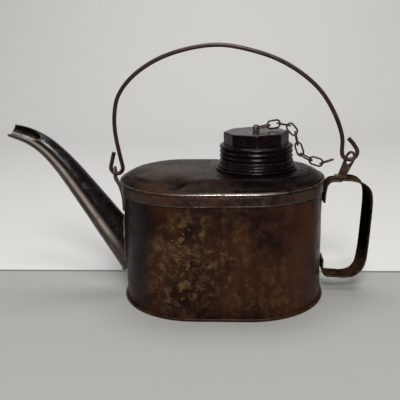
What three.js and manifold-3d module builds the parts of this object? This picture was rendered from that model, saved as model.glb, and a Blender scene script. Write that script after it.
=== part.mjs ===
// Railway oil can: a flat-sided tin with a swept pouring spout, a strap handle, a wire bail
// and an octagonal screw cap kept on a chain.
// Units are millimetres. +Z is up, +X points at the handle, the spout points at -X, and the
// origin is the centre of the flat underside.

import * as THREE from 'three';
import { mergeVertices } from 'three/addons/utils/BufferGeometryUtils.js';
import Module from 'manifold-3d';

const wasm = await Module();
wasm.setup();

// ---- Driving dimensions -------------------------------------------------------------------

const SHEET = 0.6;              // tinplate thickness
const GAP = 0.3;                // clearance left between separate pieces
const BODY = { length: 165, depth: 122, height: 100.2 };
const END_RADIUS = BODY.depth / 2;
const HALF_FLAT = BODY.length / 2 - END_RADIUS;
const BASE_RIM = { proud: 2.0, height: 2.4, floor: 0.7 };
const COVER = { bandBottom: 92.3, lipZ: 99.6, rimZ: 101.6, bead: 1.5, plateauZ: 108.6 };
const PLATEAU = { halfLength: 74, halfDepth: 41 };
const NECK = { x: 28.3, bore: 24.6, root: 26.2, crest: 27.4, base: 108.9, collar: 114.9, top: 125.6 };
const THREAD = { pitch: 3.8, baseWidth: 1.7, crestWidth: 0.8 };
const CAP = { skirtZ: 115.3, shoulderZ: 128.7, topZ: 138.4, headRadius: 26.6, inner: 28.0, crest: 26.7 };
const CAP_RIB = { crest: 29.9, valley: 29.0 };
const WIRE = 1.75;              // radius of the bail wire
const EAR = { thickness: 1.5, eyeRadius: 4.7, holeRadius: 3.1 };
const WIDE_EAR = { eyeRadius: 5.8, holeRadius: 4.1 };
const LEFT_PIVOT = { x: -89.0, z: 104.4 };
const RIGHT_PIVOT = { x: 103.6, z: 114.3 };
const LEFT_LOOP = { x: -87.4, z: 109.1, radius: 5.0 };
const RIGHT_LOOP = { x: 103.6, z: 120.4, radius: 6.1 };
const STRAP = { thickness: 1.5, tabHalf: 8.5, gripHalf: 12.0 };
const LINK = { length: 12.9, width: 7.8, wire: 0.75, play: 0.75 };
const LINK_COUNT = 9;
const ROUND = 40;               // facets around the neck and the cap

// ---- Materials ----------------------------------------------------------------------------

function metal(colour, roughness, metalness = 0.6) {
  return new THREE.MeshStandardMaterial({ color: colour, roughness, metalness });
}
const tin = metal(0x3a2a20, 0.5);
const darkTin = metal(0x241c1a, 0.4);
const capMetal = metal(0x1f1a19, 0.38, 0.7);
const rustyWire = metal(0x35241c, 0.6);
const chainMetal = metal(0x3a2c1e, 0.6);
const cork = metal(0x6b4a2c, 0.9, 0.0);

// ---- Solid helpers ------------------------------------------------------------------------

function signedVolume(points, triangles) {
  const [a, b, c] = [new THREE.Vector3(), new THREE.Vector3(), new THREE.Vector3()];
  let volume = 0;
  for (const [i, j, k] of triangles) {
    a.copy(points[i]);
    b.copy(points[j]);
    c.copy(points[k]);
    volume += a.dot(b.cross(c)) / 6;
  }
  return volume;
}

// Joins rings of equal point count into one skin. A ring list that closes on itself makes a
// tube-like body; otherwise the first and last rings, which are convex, are capped.
function loft(rings, closesOnItself = false) {
  const count = rings[0].length;
  const points = rings.flat();
  const triangles = [];
  const last = closesOnItself ? rings.length : rings.length - 1;
  for (let i = 0; i < last; i += 1) {
    const next = (i + 1) % rings.length;
    for (let j = 0; j < count; j += 1) {
      const k = (j + 1) % count;
      triangles.push([i * count + j, i * count + k, next * count + k]);
      triangles.push([i * count + j, next * count + k, next * count + j]);
    }
  }
  if (!closesOnItself) {
    const end = (rings.length - 1) * count;
    for (let j = 1; j < count - 1; j += 1) {
      triangles.push([0, j + 1, j]);
      triangles.push([end, end + j, end + j + 1]);
    }
  }
  if (signedVolume(points, triangles) < 0) {
    triangles.forEach((triangle) => triangle.reverse());
  }
  const geometry = new THREE.BufferGeometry().setFromPoints(points);
  geometry.setIndex(triangles.flat());
  return geometry;
}

function toSolid(geometry) {
  const bare = geometry.clone();
  bare.deleteAttribute('normal');
  bare.deleteAttribute('uv');
  const merged = mergeVertices(bare, 1e-4);
  return new wasm.Manifold(new wasm.Mesh({
    numProp: 3,
    vertProperties: new Float32Array(merged.attributes.position.array),
    triVerts: new Uint32Array(merged.index.array),
  }));
}

function toGeometry(solid) {
  const mesh = solid.getMesh();
  const geometry = new THREE.BufferGeometry();
  geometry.setAttribute('position', new THREE.BufferAttribute(mesh.vertProperties, 3));
  geometry.setIndex(new THREE.BufferAttribute(mesh.triVerts, 1));
  return geometry;
}

function cut(geometry, ...tools) {
  return toGeometry(tools.reduce((solid, tool) => solid.subtract(toSolid(tool)), toSolid(geometry)));
}

function join(geometry, ...others) {
  return toGeometry(others.reduce((solid, other) => solid.add(toSolid(other)), toSolid(geometry)));
}

function common(geometry, other) {
  return toGeometry(toSolid(geometry).intersect(toSolid(other)));
}

// A turned piece: the profile lists radius and height pairs, and is spun about +Z.
function turned(profile, facets = ROUND) {
  const points = profile.map(([radius, z]) => new THREE.Vector2(radius, z));
  return new THREE.LatheGeometry(points, facets).rotateX(Math.PI / 2);
}

function turnedRing(profile, facets = ROUND) {
  return turned([...profile, profile[0]], facets);
}

function disc(radius, z0, z1, facets = ROUND) {
  return turned([[0, z0], [radius, z0], [radius, z1], [0, z1]], facets);
}

// One level of the can's plan outline: two half circles joined by straight sides.
function ovalRing(halfFlat, radius, z, facetsPerEnd = 20) {
  const ring = [];
  for (const side of [1, -1]) {
    for (let i = 0; i <= facetsPerEnd; i += 1) {
      const angle = Math.PI * (i / facetsPerEnd - 0.5) + (side < 0 ? Math.PI : 0);
      ring.push(new THREE.Vector3(side * halfFlat + radius * Math.cos(angle), radius * Math.sin(angle), z));
    }
  }
  return ring;
}

// A round bar swept along a centreline that lies in the XZ plane.
function planarBar(curve, stations, radiusAt, sides = 8) {
  const rings = [];
  for (let i = 0; i <= stations; i += 1) {
    const u = i / stations;
    const centre = curve.getPointAt(u);
    const along = curve.getTangentAt(u);
    const across = new THREE.Vector3(-along.z, 0, along.x);
    const radius = radiusAt(u);
    const ring = [];
    for (let j = 0; j < sides; j += 1) {
      const angle = (2 * Math.PI * j) / sides;
      const y = radius * Math.sin(angle);
      ring.push(centre.clone().addScaledVector(across, radius * Math.cos(angle)).add(new THREE.Vector3(0, y, 0)));
    }
    rings.push(ring);
  }
  return rings;
}

function inPlane(x, z) {
  return new THREE.Vector3(x, 0, z);
}

// ---- Body, bottom and top cover -----------------------------------------------------------

function bodyShell() {
  const bottom = BASE_RIM.floor + GAP;
  return loft([
    ovalRing(HALF_FLAT, END_RADIUS, bottom),
    ovalRing(HALF_FLAT, END_RADIUS, BODY.height),
    ovalRing(HALF_FLAT, END_RADIUS - SHEET, BODY.height),
    ovalRing(HALF_FLAT, END_RADIUS - SHEET, bottom),
  ], true);
}

// Flat bottom with its edge folded up around the foot of the body.
function bottomPlate() {
  const outer = END_RADIUS + BASE_RIM.proud;
  const inner = END_RADIUS + GAP;
  return loft([
    ovalRing(HALF_FLAT, outer - 0.7, 0),
    ovalRing(HALF_FLAT, outer, 0.8),
    ovalRing(HALF_FLAT, outer, BASE_RIM.height - 0.7),
    ovalRing(HALF_FLAT, outer - 0.6, BASE_RIM.height),
    ovalRing(HALF_FLAT, inner, BASE_RIM.height),
    ovalRing(HALF_FLAT, inner, BASE_RIM.floor),
  ]);
}

// The cover sits on the body's top edge, rolls over at the rim and rises to a raised flat that
// carries the filler neck.
function topCover() {
  const skirt = END_RADIUS + GAP;
  const plateauFlat = PLATEAU.halfLength - PLATEAU.halfDepth;
  const { lipZ, rimZ, bead, plateauZ } = COVER;
  const outside = [
    ovalRing(HALF_FLAT, skirt + SHEET, lipZ),
    ovalRing(HALF_FLAT, skirt + bead - 0.3, rimZ - 1.3),
    ovalRing(HALF_FLAT, skirt + bead - 0.3, rimZ - 0.5),
    ovalRing(HALF_FLAT, skirt + 0.2, rimZ),
    ovalRing(HALF_FLAT, skirt - 1.4, rimZ),
    ovalRing(HALF_FLAT + 7, END_RADIUS - 10.5, rimZ + 3.6),
    ovalRing(plateauFlat, PLATEAU.halfDepth, plateauZ - 0.8),
    ovalRing(plateauFlat, PLATEAU.halfDepth - 4, plateauZ),
  ];
  const inside = [
    ovalRing(plateauFlat, PLATEAU.halfDepth - 4, plateauZ - SHEET),
    ovalRing(plateauFlat, PLATEAU.halfDepth - 0.3, plateauZ - 0.8 - SHEET),
    ovalRing(HALF_FLAT + 7, END_RADIUS - 10.9, rimZ + 3.6 - SHEET),
    ovalRing(HALF_FLAT, skirt - 1.7, rimZ - SHEET),
    ovalRing(HALF_FLAT, skirt, rimZ - SHEET - 0.2),
    ovalRing(HALF_FLAT, skirt, lipZ),
  ];
  const mouth = disc(NECK.bore, BODY.height, NECK.top).translate(NECK.x, 0, 0);
  const solid = toSolid(loft(outside)).subtract(toSolid(loft(inside)));
  return toGeometry(solid.subtract(toSolid(mouth)));
}

// Band soldered round the top of the body, just under the cover's rolled rim.
function rimBand() {
  const inner = END_RADIUS + GAP;
  const top = COVER.lipZ - GAP;
  return loft([
    ovalRing(HALF_FLAT, inner, COVER.bandBottom),
    ovalRing(HALF_FLAT, inner + SHEET, COVER.bandBottom),
    ovalRing(HALF_FLAT, inner + SHEET, top),
    ovalRing(HALF_FLAT, inner, top),
  ], true);
}

// ---- Filler neck and screw cap ------------------------------------------------------------

// A right-hand helical ridge of trapezoid section, running from one radius to another.
function threadRidge(footRadius, crestRadius, startZ, turns, phase) {
  const perTurn = ROUND;
  const rings = [];
  for (let i = 0; i <= turns * perTurn; i += 1) {
    const angle = phase + (2 * Math.PI * i) / perTurn;
    const z = startZ + (THREAD.pitch * i) / perTurn;
    const corner = (radius, dz) => new THREE.Vector3(
      radius * Math.cos(angle),
      radius * Math.sin(angle),
      z + dz,
    );
    rings.push([
      corner(footRadius, -THREAD.baseWidth / 2),
      corner(crestRadius, -THREAD.crestWidth / 2),
      corner(crestRadius, THREAD.crestWidth / 2),
      corner(footRadius, THREAD.baseWidth / 2),
    ]);
  }
  return loft(rings);
}

function fillerNeck() {
  const { bore, root, crest, base, collar, top } = NECK;
  const tube = turnedRing([
    [bore, base],
    [32.8, base],
    [33.2, base + 0.7],
    [32.6, base + 1.6],
    [31.6, base + 2.0],
    [32.2, base + 2.8],
    [31.6, base + 3.8],
    [30.2, base + 4.2],
    [30.6, base + 5.0],
    [29.8, collar],
    [root, collar],
    [root, top - 0.6],
    [root - 0.6, top],
    [bore, top],
  ]);
  const ridge = threadRidge(root - 0.4, crest, collar + 1.9, 2, 0);
  return join(tube, ridge);
}

function capProfile() {
  const profile = [[0, CAP.skirtZ], [CAP_RIB.crest - 0.5, CAP.skirtZ], [CAP_RIB.crest, CAP.skirtZ + 0.6]];
  for (let rib = 0; rib < 3; rib += 1) {
    const z = CAP.skirtZ + 1.9 + rib * THREAD.pitch;
    profile.push([CAP_RIB.valley, z], [CAP_RIB.crest - 0.2, z + 1.2], [CAP_RIB.crest - 0.2, z + 2.4]);
  }
  profile.push([CAP_RIB.crest - 1.4, CAP.shoulderZ], [0, CAP.shoulderZ]);
  return profile;
}

// Octagonal head with one corner facing the front and a small chamfer around its top.
function octagonHead() {
  const ringAt = (radius, z) => {
    const ring = [];
    for (let corner = 0; corner < 8; corner += 1) {
      const angle = (corner * Math.PI) / 4;
      ring.push(new THREE.Vector3(radius * Math.cos(angle), radius * Math.sin(angle), z));
    }
    return ring;
  };
  return loft([
    ringAt(CAP.headRadius, CAP.shoulderZ - 1),
    ringAt(CAP.headRadius, CAP.topZ - 0.8),
    ringAt(CAP.headRadius - 0.9, CAP.topZ),
  ]);
}

const CAP_CEILING = NECK.top + 1.8;
const CAP_TOP_PLATE = CAP.topZ - 1.5;
const SWIVEL_HOLE = 2.0;

function screwCap() {
  const skirtHollow = disc(CAP.inner, CAP.skirtZ - 1, CAP_CEILING);
  const headHollow = disc(22.6, CAP_CEILING - 1, CAP_TOP_PLATE);
  const rivetHole = disc(SWIVEL_HOLE, CAP_TOP_PLATE - 1, CAP.topZ + 1, 16);
  const shell = cut(join(turned(capProfile()), octagonHead()), skirtHollow, headHollow, rivetHole);
  const ridge = threadRidge(CAP.inner + 0.4, CAP.crest, CAP.skirtZ + 1.5, 2.2, Math.PI);
  return join(shell, ridge);
}

function capGasket() {
  const z = NECK.top + GAP;
  return turnedRing([[22.0, z], [CAP.inner - 1.0, z], [CAP.inner - 1.0, z + 1.2], [22.0, z + 1.2]]);
}

// Rivet through the middle of the cap with a standing eye that turns freely.
const SWIVEL_EYE = { ring: 2.1, wire: 0.65, z: CAP.topZ + 2.75 };

function chainSwivel() {
  const under = CAP_TOP_PLATE - 1.2;
  const shank = turned([
    [0, under - 1.0],
    [2.4, under - 1.0],
    [2.4, under],
    [1.5, under],
    [1.5, CAP.topZ + GAP],
    [3.0, CAP.topZ + GAP],
    [2.6, CAP.topZ + 0.9],
    [0, CAP.topZ + 0.9],
  ], 16);
  const eye = new THREE.TorusGeometry(SWIVEL_EYE.ring, SWIVEL_EYE.wire, 8, 20).rotateX(Math.PI / 2);
  return join(shank, eye.translate(0, 0, SWIVEL_EYE.z));
}

function swivelWasher() {
  const z = CAP_TOP_PLATE - 0.9;
  return turnedRing([[1.85, z], [4.6, z], [4.6, z + 0.6], [1.85, z + 0.6]], 16);
}

// ---- Spout --------------------------------------------------------------------------------

const SPOUT = { baseRadius: 15.6, tipRadius: 5.3, wall: 0.7 };

const spoutLine = new THREE.CatmullRomCurve3([
  inPlane(-74.0, 29.5),
  inPlane(-96.0, 61.6),
  inPlane(-117.0, 92.4),
  inPlane(-132.6, 113.8),
  inPlane(-145.6, 127.6),
  inPlane(-158.0, 135.8),
  inPlane(-175.5, 142.0),
]);

// Wide and straight for most of its length, with less taper along the bent tip.
function spoutRadius(u) {
  const straight = SPOUT.baseRadius - 9.9 * u;
  const bent = SPOUT.tipRadius + 4.6 * (1 - u);
  return Math.max(straight, bent);
}

function spoutTube(radiusChange, stations = 26, sides = 24) {
  return planarBar(spoutLine, stations, (u) => spoutRadius(u) + radiusChange, sides);
}

// Everything inside the can's outline, used to fit the spout's foot to the curved end.
function canOutline(offset) {
  return loft([
    ovalRing(HALF_FLAT, END_RADIUS + offset, -5),
    ovalRing(HALF_FLAT, END_RADIUS + offset, BODY.height + 20),
  ]);
}

// A block that fills the space beyond a plane.
function blockBeyond(origin, normal, size = 60) {
  const block = new THREE.BoxGeometry(size, size, size).translate(0, 0, size / 2);
  const turn = new THREE.Quaternion().setFromUnitVectors(new THREE.Vector3(0, 0, 1), normal);
  return block.applyQuaternion(turn).translate(origin.x, origin.y, origin.z);
}

// The mouth is sliced open along its upper front side, so it pours as a short trough.
const MOUTH = { back: inPlane(-150.5, 131.5), along: inPlane(-0.93, 0.36), turn: 47, dip: 9.5, start: 6.6 };

function mouthCutter() {
  const along = MOUTH.along.clone().normalize();
  const upright = inPlane(along.z, -along.x);
  const turn = THREE.MathUtils.degToRad(MOUTH.turn);
  const facing = upright.multiplyScalar(Math.cos(turn)).add(new THREE.Vector3(0, -Math.sin(turn), 0));
  const dip = THREE.MathUtils.degToRad(MOUTH.dip);
  const normal = facing.clone().multiplyScalar(Math.cos(dip)).addScaledVector(along, Math.sin(dip));
  return blockBeyond(MOUTH.back.clone().addScaledVector(facing, MOUTH.start), normal);
}

function tipCutter() {
  return blockBeyond(inPlane(-174.3, 141.2), inPlane(-0.84, 0.54).normalize());
}

function spout() {
  const skin = loft([...spoutTube(0), ...spoutTube(-SPOUT.wall).reverse()], true);
  return cut(skin, canOutline(GAP), tipCutter(), mouthCutter());
}

function bodyWithSpoutHole() {
  const bore = loft(planarBar(spoutLine, 12, (u) => spoutRadius(u) - SPOUT.wall - 1.0, 24));
  return cut(bodyShell(), bore);
}

// ---- Strap handle -------------------------------------------------------------------------

const TAB_X = BODY.length / 2 + GAP + STRAP.thickness / 2 + 0.1;

const handleLine = new THREE.CatmullRomCurve3([
  inPlane(TAB_X, 80.0),
  inPlane(TAB_X + 0.7, 89.0),
  inPlane(TAB_X + 2.4, 95.5),
  inPlane(TAB_X + 7.5, 98.5),
  inPlane(105.5, 98.2),
  inPlane(114.5, 94.0),
  inPlane(118.6, 85.0),
  inPlane(118.6, 62.0),
  inPlane(117.2, 30.0),
  inPlane(113.6, 19.4),
  inPlane(105.0, 15.8),
  inPlane(TAB_X + 6.0, 15.8),
  inPlane(TAB_X + 1.8, 17.4),
  inPlane(TAB_X, 22.0),
  inPlane(TAB_X, 31.0),
], false, 'catmullrom', 0.5);

// Narrow at both soldered tabs and wider where the hand closes around it.
function strapHalfWidth(u) {
  const swell = THREE.MathUtils.smoothstep(u, 0.1, 0.3) * (1 - THREE.MathUtils.smoothstep(u, 0.66, 0.84));
  return STRAP.tabHalf + (STRAP.gripHalf - STRAP.tabHalf) * swell;
}

function handleStrap() {
  const stations = 60;
  const rings = [];
  for (let i = 0; i <= stations; i += 1) {
    const u = i / stations;
    const centre = handleLine.getPointAt(u);
    const along = handleLine.getTangentAt(u);
    const out = new THREE.Vector3(-along.z, 0, along.x);
    const half = STRAP.thickness / 2;
    const width = strapHalfWidth(u);
    const section = [[half, width - 0.5], [0, width], [-half, width - 0.5]];
    const corners = [...section, ...section.map(([t, y]) => [-t, -y])];
    rings.push(corners.map(([t, y]) => centre.clone().addScaledVector(out, t).add(new THREE.Vector3(0, y, 0))));
  }
  return loft(rings);
}

// ---- Bail ears ----------------------------------------------------------------------------

// A plate outline in the YZ plane: round eye at the top, waisted stem and a pointed or
// square foot, swept along X so that it can trim a bent strip.
function earOutline(radius, pivotZ, topZ, footZ, footHalf, waistHalf) {
  const shape = new THREE.Shape();
  shape.moveTo(-footHalf, footZ);
  shape.lineTo(-waistHalf, pivotZ - radius - 2.5);
  shape.lineTo(-radius, pivotZ);
  shape.absarc(0, topZ - radius, radius, Math.PI, 0, true);
  shape.lineTo(radius, pivotZ);
  shape.lineTo(waistHalf, pivotZ - radius - 2.5);
  shape.lineTo(footHalf, footZ);
  shape.closePath();
  const slab = new THREE.ExtrudeGeometry(shape, { depth: 40, bevelEnabled: false, curveSegments: 8 });
  slab.rotateZ(Math.PI / 2).rotateY(Math.PI / 2);
  return slab;
}

// The slot that the bail hook passes through, long enough to let the hook be threaded in.
function eyeSlot(radius, pivotZ, reach) {
  const shape = new THREE.Shape();
  shape.absarc(0, pivotZ, radius, Math.PI, 2 * Math.PI, false);
  shape.absarc(0, pivotZ + reach, radius, 0, Math.PI, false);
  shape.closePath();
  const slab = new THREE.ExtrudeGeometry(shape, { depth: 40, bevelEnabled: false, curveSegments: 8 });
  slab.rotateZ(Math.PI / 2).rotateY(Math.PI / 2);
  return slab;
}

function bentStrip(points, halfWidth) {
  const line = new THREE.CatmullRomCurve3(points, false, 'catmullrom', 0.4);
  const half = EAR.thickness / 2;
  const rings = [];
  for (let i = 0; i <= 24; i += 1) {
    const centre = line.getPointAt(i / 24);
    const along = line.getTangentAt(i / 24);
    const out = new THREE.Vector3(-along.z, 0, along.x);
    const corners = [[half, halfWidth], [-half, halfWidth], [-half, -halfWidth], [half, -halfWidth]];
    rings.push(corners.map(([t, y]) => centre.clone().addScaledVector(out, t).add(new THREE.Vector3(0, y, 0))));
  }
  return loft(rings);
}

// Left ear: a strip soldered down the spout end of the body and bent out and up to its eye.
function leftEar() {
  const wallX = -BODY.length / 2 - GAP - EAR.thickness / 2 - 0.1;
  const strip = bentStrip([
    inPlane(wallX, 72),
    inPlane(wallX - 0.1, 84),
    inPlane(wallX - COVER.bead - 0.5, 93),
    inPlane(LEFT_PIVOT.x + 1.2, 98),
    inPlane(LEFT_PIVOT.x, 101.2),
    inPlane(LEFT_PIVOT.x, 112),
  ], EAR.eyeRadius);
  const outline = earOutline(EAR.eyeRadius, LEFT_PIVOT.z, LEFT_PIVOT.z + 6.0, 72, 0.9, 3.3).translate(-110, 0, 0);
  const slot = eyeSlot(EAR.holeRadius, LEFT_PIVOT.z, 0).translate(-110, 0, 0);
  return toGeometry(toSolid(common(strip, outline)).subtract(toSolid(slot)));
}

// Right ear: a wide strip standing on the handle strap, leaning out and turned partly forward.
const RIGHT_EAR = { footX: 97.6, footZ: 99.9, twist: -24 };

function rightEar() {
  const rise = RIGHT_PIVOT.z - RIGHT_EAR.footZ;
  const lean = Math.atan2(RIGHT_PIVOT.x - RIGHT_EAR.footX, rise);
  const reach = rise / Math.cos(lean);
  const half = EAR.thickness / 2;
  const plate = new THREE.BoxGeometry(EAR.thickness, 2 * WIDE_EAR.eyeRadius, reach + 16);
  plate.translate(0, 0, reach / 2);
  const outline = earOutline(WIDE_EAR.eyeRadius, reach, reach + 7.2, -2, 4.3, 4.8).translate(-20, 0, 0);
  const slot = eyeSlot(WIDE_EAR.holeRadius, reach, 1.4).translate(-20, 0, 0);
  const eye = toSolid(common(plate, outline)).subtract(toSolid(slot));
  const placed = toGeometry(eye);
  placed.rotateZ(THREE.MathUtils.degToRad(-RIGHT_EAR.twist));
  placed.rotateY(lean);
  placed.translate(RIGHT_EAR.footX, 0, RIGHT_EAR.footZ);
  const foot = new THREE.BoxGeometry(9, 8.4, 2 * half);
  foot.translate(RIGHT_EAR.footX - 0.6, 0, RIGHT_EAR.footZ + half);
  const below = new THREE.BoxGeometry(60, 60, 20).translate(RIGHT_EAR.footX, 0, RIGHT_EAR.footZ - 10);
  return cut(join(placed, foot), below);
}

// ---- Bail ---------------------------------------------------------------------------------

function hookArc(loop, fromDegrees, toDegrees, steps) {
  const arc = [];
  for (let i = 0; i <= steps; i += 1) {
    const angle = THREE.MathUtils.degToRad(fromDegrees + ((toDegrees - fromDegrees) * i) / steps);
    arc.push(inPlane(loop.x + loop.radius * Math.cos(angle), loop.z + loop.radius * Math.sin(angle)));
  }
  return arc;
}

const bailLine = new THREE.CatmullRomCurve3([
  inPlane(-89.1, 122.2),
  inPlane(-90.9, 115.5),
  ...hookArc(LEFT_LOOP, 180, 360, 6),
  inPlane(-83.6, 116.0),
  inPlane(-86.9, 136.5),
  inPlane(-87.0, 152.0),
  inPlane(-83.0, 168.2),
  inPlane(-70.0, 184.0),
  inPlane(-44.0, 199.0),
  inPlane(-4.0, 206.7),
  inPlane(29.0, 200.8),
  inPlane(54.0, 190.2),
  inPlane(77.0, 172.2),
  inPlane(90.0, 152.8),
  inPlane(97.3, 132.5),
  ...hookArc(RIGHT_LOOP, 176, 370, 6),
  inPlane(106.4, 127.0),
  inPlane(102.2, 131.8),
], false, 'centripetal');

function bailWire() {
  return loft(planarBar(bailLine, 110, () => WIRE, 8));
}

// ---- Keeper chain -------------------------------------------------------------------------

// Oval link lying in its own XY plane, long along X.
function linkGeometry() {
  const bend = LINK.width / 2 - LINK.wire;
  const straight = LINK.length / 2 - LINK.width / 2;
  const rings = [];
  for (const side of [1, -1]) {
    for (let i = 0; i <= 6; i += 1) {
      const angle = Math.PI * (i / 6 - 0.5) + (side < 0 ? Math.PI : 0);
      const out = new THREE.Vector3(Math.cos(angle), Math.sin(angle), 0);
      const centre = out.clone().multiplyScalar(bend).add(new THREE.Vector3(side * straight, 0, 0));
      const ring = [];
      for (let j = 0; j < 6; j += 1) {
        const turn = (2 * Math.PI * j) / 6;
        const up = new THREE.Vector3(0, 0, LINK.wire * Math.sin(turn));
        ring.push(centre.clone().addScaledVector(out, LINK.wire * Math.cos(turn)).add(up));
      }
      rings.push(ring);
    }
  }
  return loft(rings, true);
}

// The chain's route: up off the cap, over its edge, down beside it and across to the ear.
const chainRoute = new THREE.CatmullRomCurve3([
  new THREE.Vector3(NECK.x + 1.2, 0, SWIVEL_EYE.z),
  new THREE.Vector3(38.6, 2.0, 142.8),
  new THREE.Vector3(48.5, 6.0, 143.4),
  new THREE.Vector3(59.0, 10.2, 138.8),
  new THREE.Vector3(62.2, 10.8, 128.0),
  new THREE.Vector3(65.0, 8.5, 118.0),
  new THREE.Vector3(74.5, 5.0, 112.8),
  new THREE.Vector3(85.0, 0.5, 111.6),
  new THREE.Vector3(97.0, -6.0, 123.0),
]);

// Points where neighbouring links meet, one pitch apart along the route.
function chainJoints() {
  const pitch = LINK.length - 4 * LINK.wire - LINK.play;
  const steps = 4000;
  const joints = [chainRoute.getPointAt(0)];
  for (let i = 1; i <= steps; i += 1) {
    const point = chainRoute.getPointAt(i / steps);
    if (point.distanceTo(joints.at(-1)) >= pitch && joints.length <= LINK_COUNT) {
      joints.push(point);
    }
  }
  return joints;
}

function chainLinks() {
  const joints = chainJoints();
  const geometry = linkGeometry();
  const links = new THREE.Group();
  for (let i = 0; i < LINK_COUNT; i += 1) {
    const along = joints[i + 1].clone().sub(joints[i]).normalize();
    const side = new THREE.Vector3(-along.y, along.x, 0).normalize();
    const up = along.clone().cross(side);
    const turn = THREE.MathUtils.degToRad(i % 2 === 0 ? 0 : 90);
    const wide = side.clone().multiplyScalar(Math.cos(turn)).addScaledVector(up, Math.sin(turn));
    const link = new THREE.Mesh(geometry, chainMetal);
    link.name = `chain_link_${i + 1}`;
    link.position.copy(joints[i]).add(joints[i + 1]).multiplyScalar(0.5);
    link.quaternion.setFromRotationMatrix(
      new THREE.Matrix4().makeBasis(along, wide, along.clone().cross(wide)),
    );
    links.add(link);
  }
  return links;
}

// ---- Assembly -----------------------------------------------------------------------------

function piece(name, geometry, material) {
  const mesh = new THREE.Mesh(geometry, material);
  mesh.name = name;
  return mesh;
}

const can = new THREE.Group();
can.add(piece('body_shell', bodyWithSpoutHole(), tin));
can.add(piece('bottom_plate', bottomPlate(), tin));
can.add(piece('top_cover', topCover(), tin));
can.add(piece('rim_band', rimBand(), tin));
can.add(piece('spout', spout(), darkTin));
can.add(piece('handle_strap', handleStrap(), tin));
can.add(piece('ear_left', leftEar(), rustyWire));
can.add(piece('ear_right', rightEar(), rustyWire));
can.add(piece('bail_wire', bailWire(), rustyWire));

const mouth = new THREE.Group();
mouth.position.set(NECK.x, 0, 0);
mouth.add(piece('filler_neck', fillerNeck(), capMetal));
mouth.add(piece('screw_cap', screwCap(), capMetal));
mouth.add(piece('cap_gasket', capGasket(), cork));
mouth.add(piece('chain_swivel', chainSwivel(), chainMetal));
mouth.add(piece('swivel_washer', swivelWasher(), chainMetal));
can.add(mouth);
can.add(chainLinks());

export default can;
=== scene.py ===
# %% [markdown]
# # A railway oil can, built as a tinsmith would build it
# The can is an oval tin with a pressed cover, a long swept spout, a strap handle, a wire bail
# and an octagonal screw cap that a short chain keeps from getting lost. The imported design
# gives every body and joint, and this lesson builds the look of each piece around it. The
# first step opens that frame. Nothing made here may outgrow it.

# %% Open the frame
import math

import bmesh
import bpy
from mathutils import Matrix, Vector, noise


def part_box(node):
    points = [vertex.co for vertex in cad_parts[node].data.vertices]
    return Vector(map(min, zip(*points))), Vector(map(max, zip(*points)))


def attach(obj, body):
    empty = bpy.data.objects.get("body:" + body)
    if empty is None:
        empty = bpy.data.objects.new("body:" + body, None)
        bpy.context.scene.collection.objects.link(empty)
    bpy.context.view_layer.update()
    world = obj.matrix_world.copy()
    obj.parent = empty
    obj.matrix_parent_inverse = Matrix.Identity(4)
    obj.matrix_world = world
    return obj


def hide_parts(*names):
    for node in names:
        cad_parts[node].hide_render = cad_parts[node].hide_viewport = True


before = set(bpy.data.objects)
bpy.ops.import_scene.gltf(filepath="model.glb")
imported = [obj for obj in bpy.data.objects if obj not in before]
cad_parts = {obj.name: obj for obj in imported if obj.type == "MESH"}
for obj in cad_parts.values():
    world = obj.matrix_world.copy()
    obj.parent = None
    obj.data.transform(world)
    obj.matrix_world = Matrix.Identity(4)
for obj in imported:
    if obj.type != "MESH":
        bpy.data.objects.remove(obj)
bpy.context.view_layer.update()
MM = 0.001

# %% [markdown]
# ## Measurements
# A tinsmith marks out from a few sizes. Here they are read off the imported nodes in
# millimetres, so that the look follows the design if the design ever changes.

# %% Measure the frame


def node_box(name):
    """The low and high corners of a design node, in millimetres."""
    low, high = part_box(name)
    return low / MM, high / MM


body_high = node_box("body_shell")[1]
cover_high = node_box("top_cover")[1]
base_high = node_box("bottom_plate")[1]
cap_low, cap_high = node_box("screw_cap")
END_RADIUS = body_high.y
HALF_FLAT = body_high.x - END_RADIUS
BODY_TOP = body_high.z
NECK_X = (cap_low.x + cap_high.x) / 2
GAP = 0.3       # room left between soldered pieces
SHEET = 0.6     # tinplate of the wall and the cover
print(f"body {2 * body_high.x:.0f} x {2 * END_RADIUS:.0f} mm, neck {NECK_X:.1f} mm from the middle")

# %% [markdown]
# ## The camera
# The camera stands a little to the right of the can and looks slightly down on it. It is
# close, about half a metre away, so the near side looks larger than the far one, as it does
# to a person who picks the can off a bench. The small roll levels the can the way a
# hand-held view does.

# %% Place the camera
VIEW_AZIMUTH = math.radians(4.07)
VIEW_ELEVATION = math.radians(15.25)
VIEW_ROLL = math.radians(-1.32)
VIEW_DISTANCE = 0.5053
VIEW_TARGET = Vector((-0.0185, 0.0, 0.0808))
LENS = 54.17

towards_camera = Vector((
    math.sin(VIEW_AZIMUTH) * math.cos(VIEW_ELEVATION),
    -math.cos(VIEW_AZIMUTH) * math.cos(VIEW_ELEVATION),
    math.sin(VIEW_ELEVATION),
))
level_right = (-towards_camera).cross(Vector((0, 0, 1))).normalized()
level_up = level_right.cross(-towards_camera)
right = math.cos(VIEW_ROLL) * level_right + math.sin(VIEW_ROLL) * level_up
up = math.cos(VIEW_ROLL) * level_up - math.sin(VIEW_ROLL) * level_right

camera = bpy.data.objects.new("camera", bpy.data.cameras.new("camera"))
camera.data.lens = LENS
camera.data.sensor_width = 36.0
camera.data.clip_start = 0.02
turn = Matrix((right, up, towards_camera)).transposed().to_4x4()
camera.matrix_world = Matrix.Translation(VIEW_TARGET + VIEW_DISTANCE * towards_camera) @ turn
bpy.context.scene.collection.objects.link(camera)
bpy.context.scene.camera = camera
print("camera stands at", [round(x, 3) for x in camera.matrix_world.translation])
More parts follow.
